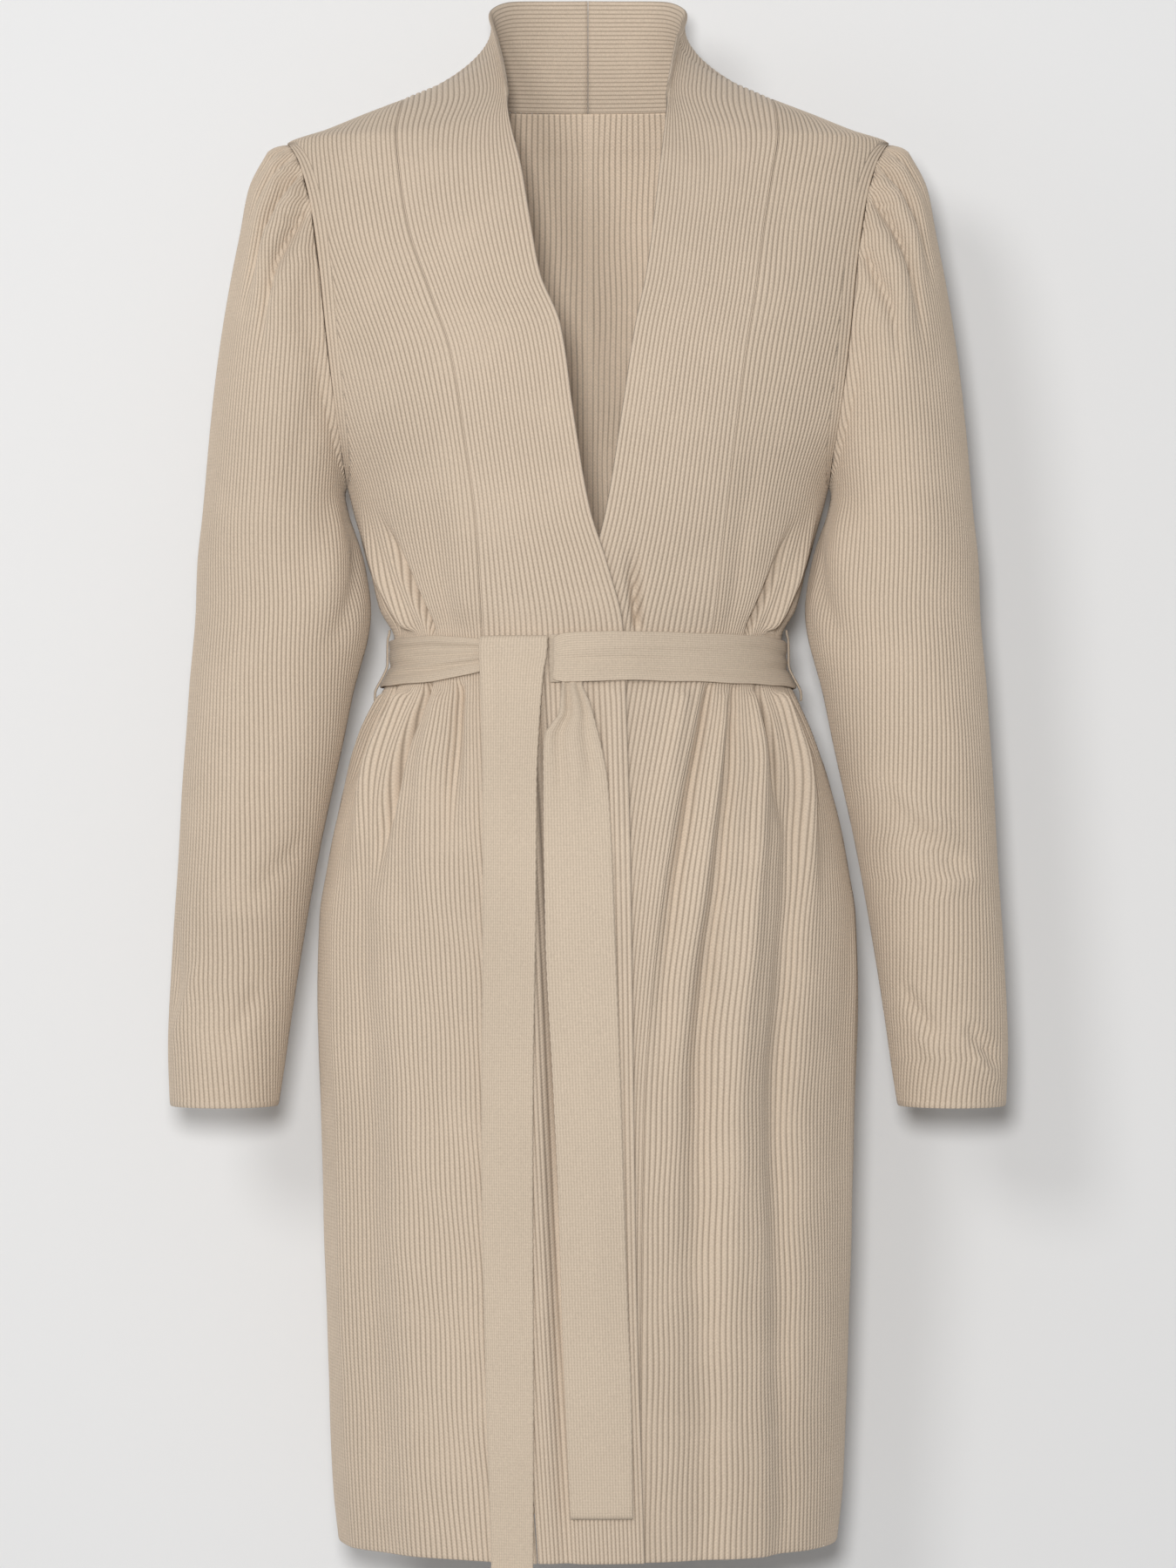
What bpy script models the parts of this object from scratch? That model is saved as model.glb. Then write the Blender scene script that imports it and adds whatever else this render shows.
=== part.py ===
# Long tie-belt cardigan in rib knit, worn form with nobody in it.
# Front faces -Y, up is +Z, and the origin is the middle of the neck base where the shoulders hold it.
# Lengths are in metres.
import math

import bpy
import numpy as np

# Cloth
WALL = 0.0022          # whole wall of the rib knit, valley of the inside to top of a rib
RIB_HEIGHT = 0.0007    # how far a rib stands over the valleys beside it
SEAM_GAP = 0.0003      # space between two pieces at a seam
HALF_GAP = SEAM_GAP / 2
OVERLAP_LIFT = 0.0036  # how far the over front stands off the under front
BELT_WIDTH = 0.032
BELT_WALL = 0.0020
COLLAR_SAG = 0.0150    # how far the collar's wall hollows in between its seam and its edge
SAG_SKEW = 1.35
NECK_SEAM_ROOM = 0.0004    # more space at the band's seam where it turns up at the neck
FOLD_RADIUS = 0.14     # round of the body that the widths of its folds are measured on

# Heights
HEM_Z = -0.908
SHOULDER_TIP_Z = -0.028
UNDERARM_Z = -0.245
BELT_Z = -0.3555
TAIL_FRONT_END_Z = -0.922
TAIL_UNDER_END_Z = -0.880
LAID_ON_SKIRT_Z = -0.425    # below this a tail takes the rows of the skirt it lies on

# Outside of the body, one row a height: half width, depth in front, depth behind
BODY_COLUMNS = ("z", "half_width", "front", "back")
BODY = [
    (-0.908, 0.1570, 0.1160, 0.1200),
    (-0.872, 0.1609, 0.1170, 0.1215),
    (-0.762, 0.1647, 0.1190, 0.1245),
    (-0.652, 0.1680, 0.1210, 0.1275),
    (-0.570, 0.1706, 0.1220, 0.1290),
    (-0.515, 0.1691, 0.1205, 0.1270),
    (-0.487, 0.1647, 0.1180, 0.1240),
    (-0.459, 0.1595, 0.1150, 0.1190),
    (-0.421, 0.1493, 0.1080, 0.1090),
    (-0.399, 0.1416, 0.1030, 0.1020),
    (-0.377, 0.1315, 0.0970, 0.0945),
    (-0.356, 0.1222, 0.0920, 0.0880),
    (-0.340, 0.1222, 0.0925, 0.0875),
    (-0.322, 0.1310, 0.0965, 0.0890),
    (-0.295, 0.1378, 0.1015, 0.0925),
    (-0.262, 0.1475, 0.1065, 0.0970),
    (-0.245, 0.1520, 0.1080, 0.0990),
    (-0.200, 0.1760, 0.1075, 0.1020),
    (-0.150, 0.1900, 0.1030, 0.1030),
    (-0.100, 0.1970, 0.0940, 0.1010),
    (-0.070, 0.1980, 0.0870, 0.0960),
    (-0.042, 0.1955, 0.0780, 0.0890),
    (-0.028, 0.1900, 0.0720, 0.0840),
    (-0.020, 0.1675, 0.0690, 0.0800),
    (-0.010, 0.1425, 0.0650, 0.0750),
    (0.000, 0.1160, 0.0600, 0.0700),
]

# Edge of the armhole, one row a height: half width reached by the front and by the back
ARMHOLE_COLUMNS = ("z", "front", "back")
ARMHOLE = [
    (-0.245, 0.1520, 0.1520),
    (-0.235, 0.1530, 0.1545),
    (-0.200, 0.1580, 0.1640),
    (-0.150, 0.1640, 0.1710),
    (-0.110, 0.1680, 0.1745),
    (-0.070, 0.1740, 0.1785),
    (-0.042, 0.1820, 0.1845),
    (-0.034, 0.1862, 0.1870),
    (-0.028, 0.1900, 0.1900),
]

# Seam between a front and its band, as a distance from the middle, for each front
BAND_SEAM_COLUMNS = ("z", "right", "left")
BAND_SEAM = [
    (-0.908, 0.0305, 0.0310),
    (-0.751, 0.0411, 0.0325),
    (-0.627, 0.0488, 0.0348),
    (-0.558, 0.0528, 0.0401),
    (-0.462, 0.0590, 0.0524),
    (-0.369, 0.0647, 0.0715),
    (-0.3355, 0.0658, 0.0779),
    (-0.2717, 0.0692, 0.0850),
    (-0.2184, 0.0761, 0.0910),
    (-0.1652, 0.0851, 0.0975),
    (-0.1275, 0.0981, 0.1035),
    (-0.0888, 0.1112, 0.1086),
    (-0.0540, 0.1170, 0.1142),
    (-0.0258, 0.1195, 0.1183),
    (-0.0077, 0.1172, 0.1172),
    (0.0000, 0.1160, 0.1160),
]

# Free edge of each band. A row belongs to the height of the seam across from it.
# right_x and left_x are along +X, free says how far the band stands off the chest.
BAND_EDGE_COLUMNS = ("seam_z", "edge_z", "right_x", "left_x", "edge_y", "free")
BAND_EDGE = [
    (-0.9080, -0.9080, 0.0349, -0.0260, -0.110, 0.0),
    (-0.7510, -0.7510, 0.0301, -0.0255, -0.110, 0.0),
    (-0.6270, -0.6270, 0.0282, -0.0250, -0.110, 0.0),
    (-0.4620, -0.4620, 0.0260, -0.0220, -0.110, 0.0),
    (-0.3690, -0.3690, 0.0234, -0.0150, -0.095, 0.0),
    (-0.3355, -0.3355, 0.0218, -0.0104, -0.090, 0.0),
    (-0.3037, -0.2974, 0.0121, 0.0020, -0.098, 0.0),
    (-0.2717, -0.2638, 0.0014, 0.0110, -0.104, 0.0),
    (-0.2184, -0.2050, -0.0087, 0.0205, -0.104, 0.0),
    (-0.1652, -0.1500, -0.0168, 0.0290, -0.100, 0.0),
    (-0.1275, -0.1170, -0.0296, 0.0360, -0.094, 0.0),
    (-0.0888, -0.0845, -0.0355, 0.0405, -0.088, 0.0),
    (-0.0540, -0.0500, -0.0412, 0.0445, -0.076, 0.3),
    (-0.0258, -0.0176, -0.0490, 0.0485, -0.052, 0.7),
    (-0.0077, 0.0165, -0.0545, 0.0540, -0.020, 1.0),
    (0.0000, 0.0420, -0.0600, 0.0590, 0.012, 1.0),
]

# Top edge of the collar behind the neck, one row a station: share of the way from the
# shoulder to the centre back, then where the edge is
COLLAR_COLUMNS = ("share", "x", "y", "z")
COLLAR = [
    (0.00, 0.0600, 0.012, 0.0420),
    (0.22, 0.0640, 0.035, 0.0585),
    (0.48, 0.0510, 0.056, 0.0685),
    (0.75, 0.0270, 0.066, 0.0708),
    (1.00, 0.0000, 0.068, 0.0714),
]

# Rings of a sleeve from the head to the cuff: its upper outer point, its lower inner
# point, its depth each way, and how far its middle is forward
SLEEVE_COLUMNS = ("outer_x", "outer_z", "inner_x", "inner_z", "depth", "forward")
SLEEVE = [
    (0.2000, -0.0350, 0.1526, -0.2462, 0.0560, 0.000),
    (0.2125, -0.0570, 0.1530, -0.2475, 0.0600, 0.000),
    (0.2190, -0.0830, 0.1532, -0.2490, 0.0615, 0.000),
    (0.2262, -0.1180, 0.1531, -0.2510, 0.0615, 0.000),
    (0.2322, -0.1570, 0.1528, -0.2535, 0.0605, 0.000),
    (0.2380, -0.2070, 0.1522, -0.2565, 0.0595, 0.000),
    (0.2434, -0.2620, 0.1500, -0.2650, 0.0580, 0.001),
    (0.2465, -0.2945, 0.1402, -0.2945, 0.0565, 0.002),
    (0.2475, -0.3220, 0.1365, -0.3220, 0.0550, 0.003),
    (0.2517, -0.3770, 0.1486, -0.3770, 0.0520, 0.005),
    (0.2555, -0.4320, 0.1604, -0.4320, 0.0490, 0.007),
    (0.2588, -0.4870, 0.1717, -0.4870, 0.0455, 0.009),
    (0.2621, -0.5420, 0.1810, -0.5420, 0.0420, 0.011),
    (0.2638, -0.5970, 0.1893, -0.5970, 0.0385, 0.013),
    (0.2634, -0.6190, 0.1925, -0.6190, 0.0370, 0.014),
    (0.2628, -0.6340, 0.1945, -0.6340, 0.0362, 0.014),
]

# Tucks gathered into a sleeve's head: angle round the armhole from its top, width and depth
TUCK_COLUMNS = ("angle", "width", "depth")
TUCKS = [
    (18.0, 6.0, 0.0030),
    (36.0, 6.0, 0.0038),
    (54.0, 6.0, 0.0024),
    (-18.0, 6.0, 0.0030),
    (-36.0, 6.0, 0.0034),
    (-54.0, 6.0, 0.0022),
]

# Largest folds of the body: from one point to another on it (angle from the middle of the
# front in degrees, and height), half width across, and how far out (+) or in (-)
FOLD_COLUMNS = ("angle_1", "z_1", "angle_2", "z_2", "half_width", "out")
FOLDS = [
    (-76.0, -0.270, -53.0, -0.334, 0.012, 0.0045),
    (-70.0, -0.290, -50.0, -0.338, 0.007, -0.0050),
    (74.0, -0.262, 56.0, -0.334, 0.012, 0.0045),
    (66.0, -0.285, 53.0, -0.338, 0.007, -0.0050),
    (-58.0, -0.368, -64.0, -0.460, 0.008, -0.0070),
    (-68.0, -0.372, -73.0, -0.470, 0.010, 0.0040),
    (-40.0, -0.368, -37.0, -0.520, 0.011, -0.0035),
    (40.0, -0.368, 27.0, -0.600, 0.010, -0.0040),
    (56.0, -0.368, 62.0, -0.470, 0.008, -0.0080),
    (48.0, -0.372, 46.0, -0.640, 0.013, 0.0035),
    (62.0, -0.440, 50.0, -0.780, 0.013, -0.0035),
    (72.0, -0.372, 74.0, -0.480, 0.011, 0.0040),
    (180.0, -0.372, 178.0, -0.700, 0.014, -0.0040),
    (150.0, -0.372, 146.0, -0.660, 0.013, -0.0045),
    (-148.0, -0.372, -150.0, -0.620, 0.013, -0.0045),
    (120.0, -0.368, 112.0, -0.520, 0.010, -0.0050),
    (-118.0, -0.368, -110.0, -0.500, 0.010, -0.0050),
    (165.0, -0.340, 160.0, -0.250, 0.011, -0.0035),
    (-162.0, -0.340, -158.0, -0.240, 0.011, -0.0035),
]

# The belt's stretch round the waist, from under the front tail by way of the back to the
# knot: angle from the middle of the front, its two edges, and how far its inside stands off
BELT_COLUMNS = ("angle", "top_z", "bottom_z", "off")
BELT = [
    (-369.5, -0.3388, -0.3722, 0.0070),
    (-362.0, -0.3374, -0.3716, 0.0070),
    (-350.0, -0.3372, -0.3700, 0.0050),
    (-335.0, -0.3382, -0.3696, 0.0020),
    (-310.0, -0.3392, -0.3708, 0.0014),
    (-270.0, -0.3425, -0.3728, 0.0014),
    (-180.0, -0.3420, -0.3740, 0.0014),
    (-90.0, -0.3418, -0.3722, 0.0014),
    (-50.0, -0.3398, -0.3695, 0.0014),
    (-34.0, -0.3420, -0.3645, 0.0022),
    (-26.0, -0.3450, -0.3600, 0.0032),
]

# A hanging or upright strip of belt: height, its two edges, and how far its outside stands off
STRIP_COLUMNS = ("z", "x_1", "x_2", "off")
TAIL_FRONT = [
    (-0.3418, -0.0622, -0.0240, 0.0056),
    (-0.3404, -0.0624, -0.0238, 0.0066),
    (-0.3402, -0.0626, -0.0236, 0.0082),
    (-0.3418, -0.0630, -0.0237, 0.0095),
    (-0.3469, -0.0634, -0.0238, 0.0100),
    (-0.3660, -0.0632, -0.0262, 0.0100),
    (-0.3900, -0.0628, -0.0285, 0.0094),
    (-0.4320, -0.0626, -0.0306, 0.0090),
    (-0.5200, -0.0628, -0.0310, 0.0072),
    (-0.6182, -0.0630, -0.0321, 0.0064),
    (-0.7512, -0.0620, -0.0328, 0.0064),
    (-0.8500, -0.0600, -0.0328, 0.0064),
    (-0.9055, -0.0580, -0.0327, 0.0064),
    (-0.9220, -0.0578, -0.0330, 0.0064),
]
TAIL_UNDER = [
    (-0.3600, -0.0122, -0.0020, 0.0062),
    (-0.3725, -0.0142, -0.0013, 0.0064),
    (-0.3800, -0.0170, 0.0036, 0.0072),
    (-0.3900, -0.0210, 0.0056, 0.0072),
    (-0.4000, -0.0255, 0.0063, 0.0068),
    (-0.4123, -0.0268, 0.0085, 0.0064),
    (-0.4320, -0.0270, 0.0115, 0.0062),
    (-0.5200, -0.0258, 0.0160, 0.0062),
    (-0.6182, -0.0205, 0.0200, 0.0062),
    (-0.6836, -0.0173, 0.0220, 0.0062),
    (-0.7500, -0.0155, 0.0238, 0.0062),
    (-0.8140, -0.0136, 0.0258, 0.0062),
    (-0.8800, -0.0109, 0.0264, 0.0062),
]
KNOT = [
    (-0.3398, -0.0228, -0.0140, 0.0062),
    (-0.3430, -0.0232, -0.0130, 0.0065),
    (-0.3520, -0.0232, -0.0128, 0.0065),
    (-0.3600, -0.0230, -0.0145, 0.0065),
    (-0.3712, -0.0226, -0.0165, 0.0062),
]

# A carrier at a side seam, over the belt: height and how far its outside stands off
CARRIER_COLUMNS = ("z", "off")
CARRIER = [
    (-0.3340, 0.0018),
    (-0.3370, 0.0038),
    (-0.3400, 0.0050),
    (-0.3500, 0.0052),
    (-0.3640, 0.0052),
    (-0.3745, 0.0050),
    (-0.3775, 0.0038),
    (-0.3805, 0.0018),
]
CARRIER_WIDTH = 0.0035
CARRIER_WALL = 0.0012

# Heights of the rows of points, shared by every panel of the body so that seams meet
ROWS_BELOW_ARM = (-0.908, -0.830, -0.750, -0.675, -0.605, -0.545, -0.495, -0.455, -0.422,
                  -0.398, -0.379, -0.366, -0.352, -0.338, -0.322, -0.298, -0.270, -0.245)
ROWS_AT_ARM = (-0.228, -0.200, -0.168, -0.136, -0.104, -0.074, -0.050, -0.036, -0.028)
ROWS_AT_SHOULDER = (-0.018, -0.008, -0.002)

# A hanging strip's rows keep this far from one another and from its end
ROWS_APART = 0.012
ROW_CLEAR_OF_END = 0.008

# Stations of the collar from the shoulder to the centre back, and shares of the gathers'
# depth on the sleeve's first rings
COLLAR_STATIONS = (0.0, 0.12, 0.25, 0.40, 0.55, 0.70, 0.85, 1.0)
GATHER_SHARES = (0.35, 1.0, 0.9, 0.6, 0.3, 0.1)

# Angles of the belt's rows in degrees: its ends are closer than its stretch round the back
BELT_ANGLES = ((-369.5, -335.0, 8), (-327.0, -50.0, 36), (-44.0, -26.0, 4))
BELT_ROWS_ACROSS = 4
TAIL_COLUMNS = 5

# Columns of points across each piece, with one inner column for every two or four outer ones
FRONT_COLUMNS = 21
BACK_COLUMNS = 45
BAND_COLUMNS = 17
BAND_INNER_STEP = 4
SLEEVE_COLUMNS_ROUND = 40
INNER_STEP = 2


def clear_scene():
    for item in list(bpy.data.objects):
        bpy.data.objects.remove(item)


def smooth_slopes(xs, ys):
    # Slopes of a curve through the points that makes no new bumps between them.
    steps = np.diff(xs)
    rises = np.diff(ys) / steps
    slopes = np.zeros(len(xs))
    slopes[0] = rises[0]
    slopes[-1] = rises[-1]
    for i in range(1, len(xs) - 1):
        if rises[i - 1] * rises[i] > 0:
            before = 2 * steps[i] + steps[i - 1]
            after = steps[i] + 2 * steps[i - 1]
            slopes[i] = (before + after) / (before / rises[i - 1] + after / rises[i])
    return slopes


def column(rows, columns, key, wanted, at):
    # A column of a table as a smooth function of another, read at the given places.
    table = np.array(rows, float)
    xs = table[:, columns.index(key)]
    ys = table[:, columns.index(wanted)]
    slopes = smooth_slopes(xs, ys)
    at = np.clip(np.asarray(at, float), xs[0], xs[-1])
    i = np.clip(np.searchsorted(xs, at) - 1, 0, len(xs) - 2)
    width = xs[i + 1] - xs[i]
    t = (at - xs[i]) / width
    start = (1 + 2 * t) * (1 - t) ** 2
    end = t * t * (3 - 2 * t)
    leave = t * (1 - t) ** 2 * width
    arrive = t * t * (t - 1) * width
    return start * ys[i] + end * ys[i + 1] + leave * slopes[i] + arrive * slopes[i + 1]


def body(name, z):
    return column(BODY, BODY_COLUMNS, "z", name, z)


def step_up(value, low, high):
    t = np.clip((value - low) / (high - low), 0, 1)
    return t * t * (3 - 2 * t)


def plain_body_point(angle, z):
    angle, z = np.broadcast_arrays(np.asarray(angle, float), np.asarray(z, float))
    across = np.sin(angle)
    along = np.cos(angle)
    depth = np.where(along >= 0, body("front", z), body("back", z))
    return np.stack([body("half_width", z) * across, -depth * along, z], axis=-1)


def body_normal(angle, z):
    turn = 1e-3
    rise = 5e-4
    round_way = plain_body_point(np.add(angle, turn), z) - plain_body_point(np.subtract(angle, turn), z)
    up_z = np.minimum(np.add(z, rise), 0.0)
    down_z = up_z - 2 * rise
    up_way = plain_body_point(angle, up_z) - plain_body_point(angle, down_z)
    normal = np.cross(round_way, up_way)
    return normal / np.linalg.norm(normal, axis=-1, keepdims=True)


def fold_height(angle, z):
    # Sum of the folds at a place on the body: each runs along a line and fades at its ends.
    total = np.zeros(np.broadcast(angle, z).shape)
    for row in FOLDS:
        fold = dict(zip(FOLD_COLUMNS, row))
        start = np.array([math.radians(fold["angle_1"]) * FOLD_RADIUS, fold["z_1"]])
        way = np.array([math.radians(fold["angle_2"]) * FOLD_RADIUS, fold["z_2"]]) - start
        length = np.linalg.norm(way)
        way = way / length
        turned = np.mod(np.asarray(angle) - math.radians(fold["angle_1"]) + math.pi, 2 * math.pi) - math.pi
        off_x = turned * FOLD_RADIUS
        off_z = np.asarray(z) - start[1]
        along = off_x * way[0] + off_z * way[1]
        aside = off_x * way[1] - off_z * way[0]
        reach = along / length
        fade = step_up(reach, -0.12, 0.18) * (1 - step_up(reach, 0.45, 1.1))
        total = total + fold["out"] * fade * np.exp(-(aside / fold["half_width"]) ** 2)
    under_belt = step_up(np.asarray(z), -0.386, -0.374) * (1 - step_up(np.asarray(z), -0.336, -0.324))
    return total * (1 - under_belt)


def front_lift(x, z):
    # The over front rides on the under front from the waist down.
    return OVERLAP_LIFT * step_up(x, -0.075, -0.034) * (1 - step_up(z, -0.285, -0.225))


def body_point(angle, z, out):
    angle, z = np.broadcast_arrays(np.asarray(angle, float), np.asarray(z, float))
    away = np.asarray(out) + fold_height(angle, z)
    return plain_body_point(angle, z) + body_normal(angle, z) * away[..., None]


def angle_of(x, z):
    return np.arcsin(np.clip(np.asarray(x) / body("half_width", z), -1, 1))


def armhole_angle(face, z):
    reach = column(ARMHOLE, ARMHOLE_COLUMNS, "z", face, np.clip(z, UNDERARM_Z, SHOULDER_TIP_Z))
    edge = np.arcsin(np.clip(reach / body("half_width", z), -1, 1))
    closed = (np.asarray(z) < UNDERARM_Z + 1e-6) | (np.asarray(z) > SHOULDER_TIP_Z - 1e-6)
    return np.where(closed, math.pi / 2, edge)


def seam_angle(side, z):
    name = "right" if side < 0 else "left"
    return angle_of(column(BAND_SEAM, BAND_SEAM_COLUMNS, "z", name, z), z)


def rib_drop(count):
    # Valleys on every other column of points, ribs between them.
    drop = np.zeros(count)
    drop[0::2] = RIB_HEIGHT
    return drop


def add_piece(name, points, faces, colour):
    mesh = bpy.data.meshes.new(name)
    points = np.asarray(points)
    corners = points[np.asarray(faces)] - points.mean(axis=0)
    volume = np.einsum("ij,ij->i", corners[:, 0], np.cross(corners[:, 1], corners[:, 2])).sum()
    if volume < 0:
        faces = [(a, c, b) for a, b, c in faces]
    mesh.from_pydata([tuple(map(float, p)) for p in points], [], faces)
    mesh.validate()
    item = bpy.data.objects.new(name, mesh)
    bpy.context.scene.collection.objects.link(item)
    mesh.materials.append(cloth_material(name + "_cloth", colour))
    return item


def cloth_material(name, colour):
    material = bpy.data.materials.new(name)
    material.use_nodes = True
    shader = material.node_tree.nodes["Principled BSDF"]
    shader.inputs["Base Color"].default_value = (*colour, 1.0)
    shader.inputs["Roughness"].default_value = 0.9
    return material


def strip_between(fine, coarse, step):
    # Triangles between a fine row of points and a coarse one that has every step-th of them.
    faces = []
    for i in range(len(coarse) - 1):
        low = i * step
        middle = low + step // 2
        for j in range(low, low + step):
            near = coarse[i] if j < middle else coarse[i + 1]
            faces.append((fine[j], fine[j + 1], near))
        faces.append((fine[middle], coarse[i + 1], coarse[i]))
    return faces


def grid_faces(index, flip):
    faces = []
    for r in range(index.shape[0] - 1):
        for c in range(index.shape[1] - 1):
            a, b, d, e = index[r, c], index[r, c + 1], index[r + 1, c + 1], index[r + 1, c]
            pair = [(a, b, d), (a, d, e)] if not flip else [(a, d, b), (a, e, d)]
            faces.extend(pair)
    return faces


def add_wall(name, outer, inner, step, colour, round_shape=False):
    # One closed wall from a grid of outer points and a coarser grid of inner points.
    rows, fine, _ = outer.shape
    coarse = inner.shape[1]
    points = np.concatenate([outer.reshape(-1, 3), inner.reshape(-1, 3)])
    out = np.arange(rows * fine).reshape(rows, fine)
    inn = rows * fine + np.arange(rows * coarse).reshape(rows, coarse)
    if round_shape:
        out = np.concatenate([out, out[:, :1]], axis=1)
        inn = np.concatenate([inn, inn[:, :1]], axis=1)
    faces = grid_faces(out, False) + grid_faces(inn, True)
    bottom = strip_between(list(out[0]), list(inn[0]), step)
    top = strip_between(list(out[-1]), list(inn[-1]), step)
    faces += [(a, c, b) for a, b, c in bottom] + top
    if not round_shape:
        for r in range(rows - 1):
            faces += [(out[r, 0], out[r + 1, 0], inn[r + 1, 0]), (out[r, 0], inn[r + 1, 0], inn[r, 0])]
            a, b, c, d = out[r, -1], out[r + 1, -1], inn[r + 1, -1], inn[r, -1]
            faces += [(a, c, b), (a, d, c)]
    return add_piece(name, points, [tuple(int(i) for i in face) for face in faces], colour)


def lowest_nearby(values, step):
    # The least of each value and those up to a step away along its row, for an inner wall
    # whose straight stretches must stay inside the outer one.
    padded = np.pad(values, ((0, 0), (step, step)), mode="edge")
    width = values.shape[1]
    return np.min([padded[:, i:i + width] for i in range(2 * step + 1)], axis=0)


def panel_on_body(name, rows, first_angle, last_angle, count, lift, colour):
    # A panel of the body between two angles that change with height.
    share = np.linspace(0, 1, count)[None, :]
    z = np.asarray(rows, float)[:, None]
    angle = first_angle[:, None] * (1 - share) + last_angle[:, None] * share
    z = np.broadcast_to(z, angle.shape)
    x = plain_body_point(angle, z)[..., 0]
    out = lift(x, z)
    outer = body_point(angle, z, out - rib_drop(count)[None, :])
    folds = fold_height(angle, z)
    under = lowest_nearby(folds + out, INNER_STEP) - folds - WALL
    thin = slice(None, None, INNER_STEP)
    inner = body_point(angle[:, thin], z[:, thin], under[:, thin])
    return add_wall(name, outer, inner, INNER_STEP, colour)


def no_lift(x, z):
    return np.zeros(x.shape)


def make_front(name, side, colour):
    rows = np.array(ROWS_BELOW_ARM + ROWS_AT_ARM + ROWS_AT_SHOULDER)
    gap_angle = HALF_GAP / body("front", rows)
    inner_edge = seam_angle(side, rows) + gap_angle
    outer_edge = armhole_angle("front", rows) - gap_angle
    lift = front_lift if side < 0 else no_lift
    return panel_on_body(name, rows, side * inner_edge, side * outer_edge, FRONT_COLUMNS, lift, colour)


def make_back(colour):
    rows = np.array(ROWS_BELOW_ARM + ROWS_AT_ARM + ROWS_AT_SHOULDER + (-0.0002,))
    edge = armhole_angle("back", rows) - HALF_GAP / body("back", rows)
    return panel_on_body("back", rows, math.pi - edge, math.pi + edge, BACK_COLUMNS, no_lift, colour)


def grid_normals(grid):
    along = np.gradient(grid, axis=0)
    across = np.gradient(grid, axis=1)
    normal = np.cross(across, along)
    return normal / np.linalg.norm(normal, axis=-1, keepdims=True)


def band_edge(name, seam_z):
    return column(BAND_EDGE, BAND_EDGE_COLUMNS, "seam_z", name, seam_z)


def sag_shape(share):
    # How the hollow of the collar runs from its seam (0) to its free edge (1).
    skewed = share ** SAG_SKEW
    return 4 * skewed * (1 - skewed)


def band_front_grid(side, rows, share):
    # Points of a front band on the chest: it leaves the chest only near the neck.
    seam_x = side * column(BAND_SEAM, BAND_SEAM_COLUMNS, "z", "right" if side < 0 else "left", rows)
    seam = body_point(side * (seam_angle(side, rows) - HALF_GAP / body("front", rows)), rows, 0.0)
    edge_x = band_edge("right_x" if side < 0 else "left_x", rows)
    edge_z = band_edge("edge_z", rows)
    edge_y = band_edge("edge_y", rows)
    free = band_edge("free", rows)[:, None]
    x = seam_x[:, None] * (1 - share) + edge_x[:, None] * share
    z = rows[:, None] * (1 - share) + edge_z[:, None] * share
    on_chest = body_point(angle_of(x, np.minimum(z, 0)), np.minimum(z, 0), 0.0)
    edge = np.stack([edge_x, edge_y, edge_z], axis=-1)
    straight = seam[:, None, :] * (1 - share)[..., None] + edge[:, None, :] * share[..., None]
    grid = on_chest * (1 - free)[..., None] + straight * free[..., None]
    grid[..., 0] -= side * COLLAR_SAG * sag_shape(share) * free ** 2
    grid[:, 0] = seam
    grid[:, 0, 0] -= side * NECK_SEAM_ROOM * free[:, 0]
    if side < 0:
        grid[..., 1] -= front_lift(x, z)
    return grid


def band_back_grid(side, shares_of_way, share):
    # Points of the collar behind the neck, standing on the back neck seam.
    angle = side * (math.pi / 2 + shares_of_way * (math.pi / 2))
    seam = plain_body_point(angle, np.zeros(len(angle)))
    seam[:, 2] += HALF_GAP
    edge = np.stack([side * column(COLLAR, COLLAR_COLUMNS, "share", "x", shares_of_way),
                     column(COLLAR, COLLAR_COLUMNS, "share", "y", shares_of_way),
                     column(COLLAR, COLLAR_COLUMNS, "share", "z", shares_of_way)], axis=-1)
    grid = seam[:, None, :] * (1 - share)[..., None] + edge[:, None, :] * share[..., None]
    at_side = np.cos(shares_of_way * math.pi / 2)[:, None]
    grid[..., 0] -= side * COLLAR_SAG * sag_shape(share) * at_side
    return grid


def make_band(name, side, colour):
    rows = np.array(ROWS_BELOW_ARM + ROWS_AT_ARM + ROWS_AT_SHOULDER)
    share = np.linspace(0, 1, BAND_COLUMNS)[None, :]
    front = band_front_grid(side, rows, share)
    back = band_back_grid(side, np.array(COLLAR_STATIONS), share)
    middle = np.concatenate([front, back])
    normal = grid_normals(middle)
    outward = np.sign(np.sum(normal[0, 0] * np.array([0.0, -1.0, 0.0])))
    normal = normal * outward
    outer = middle - normal * rib_drop(BAND_COLUMNS)[None, :, None]
    thin = slice(None, None, BAND_INNER_STEP)
    inner = middle[:, thin] - normal[:, thin] * WALL
    first_back = len(rows)
    for grid in (outer, inner):
        reach = np.maximum(side * grid[first_back:, :, 0], HALF_GAP)
        grid[first_back:, :, 0] = side * reach
        grid[-1, :, 0] = side * HALF_GAP
    return add_wall(name, outer, inner, BAND_INNER_STEP, colour)


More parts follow.
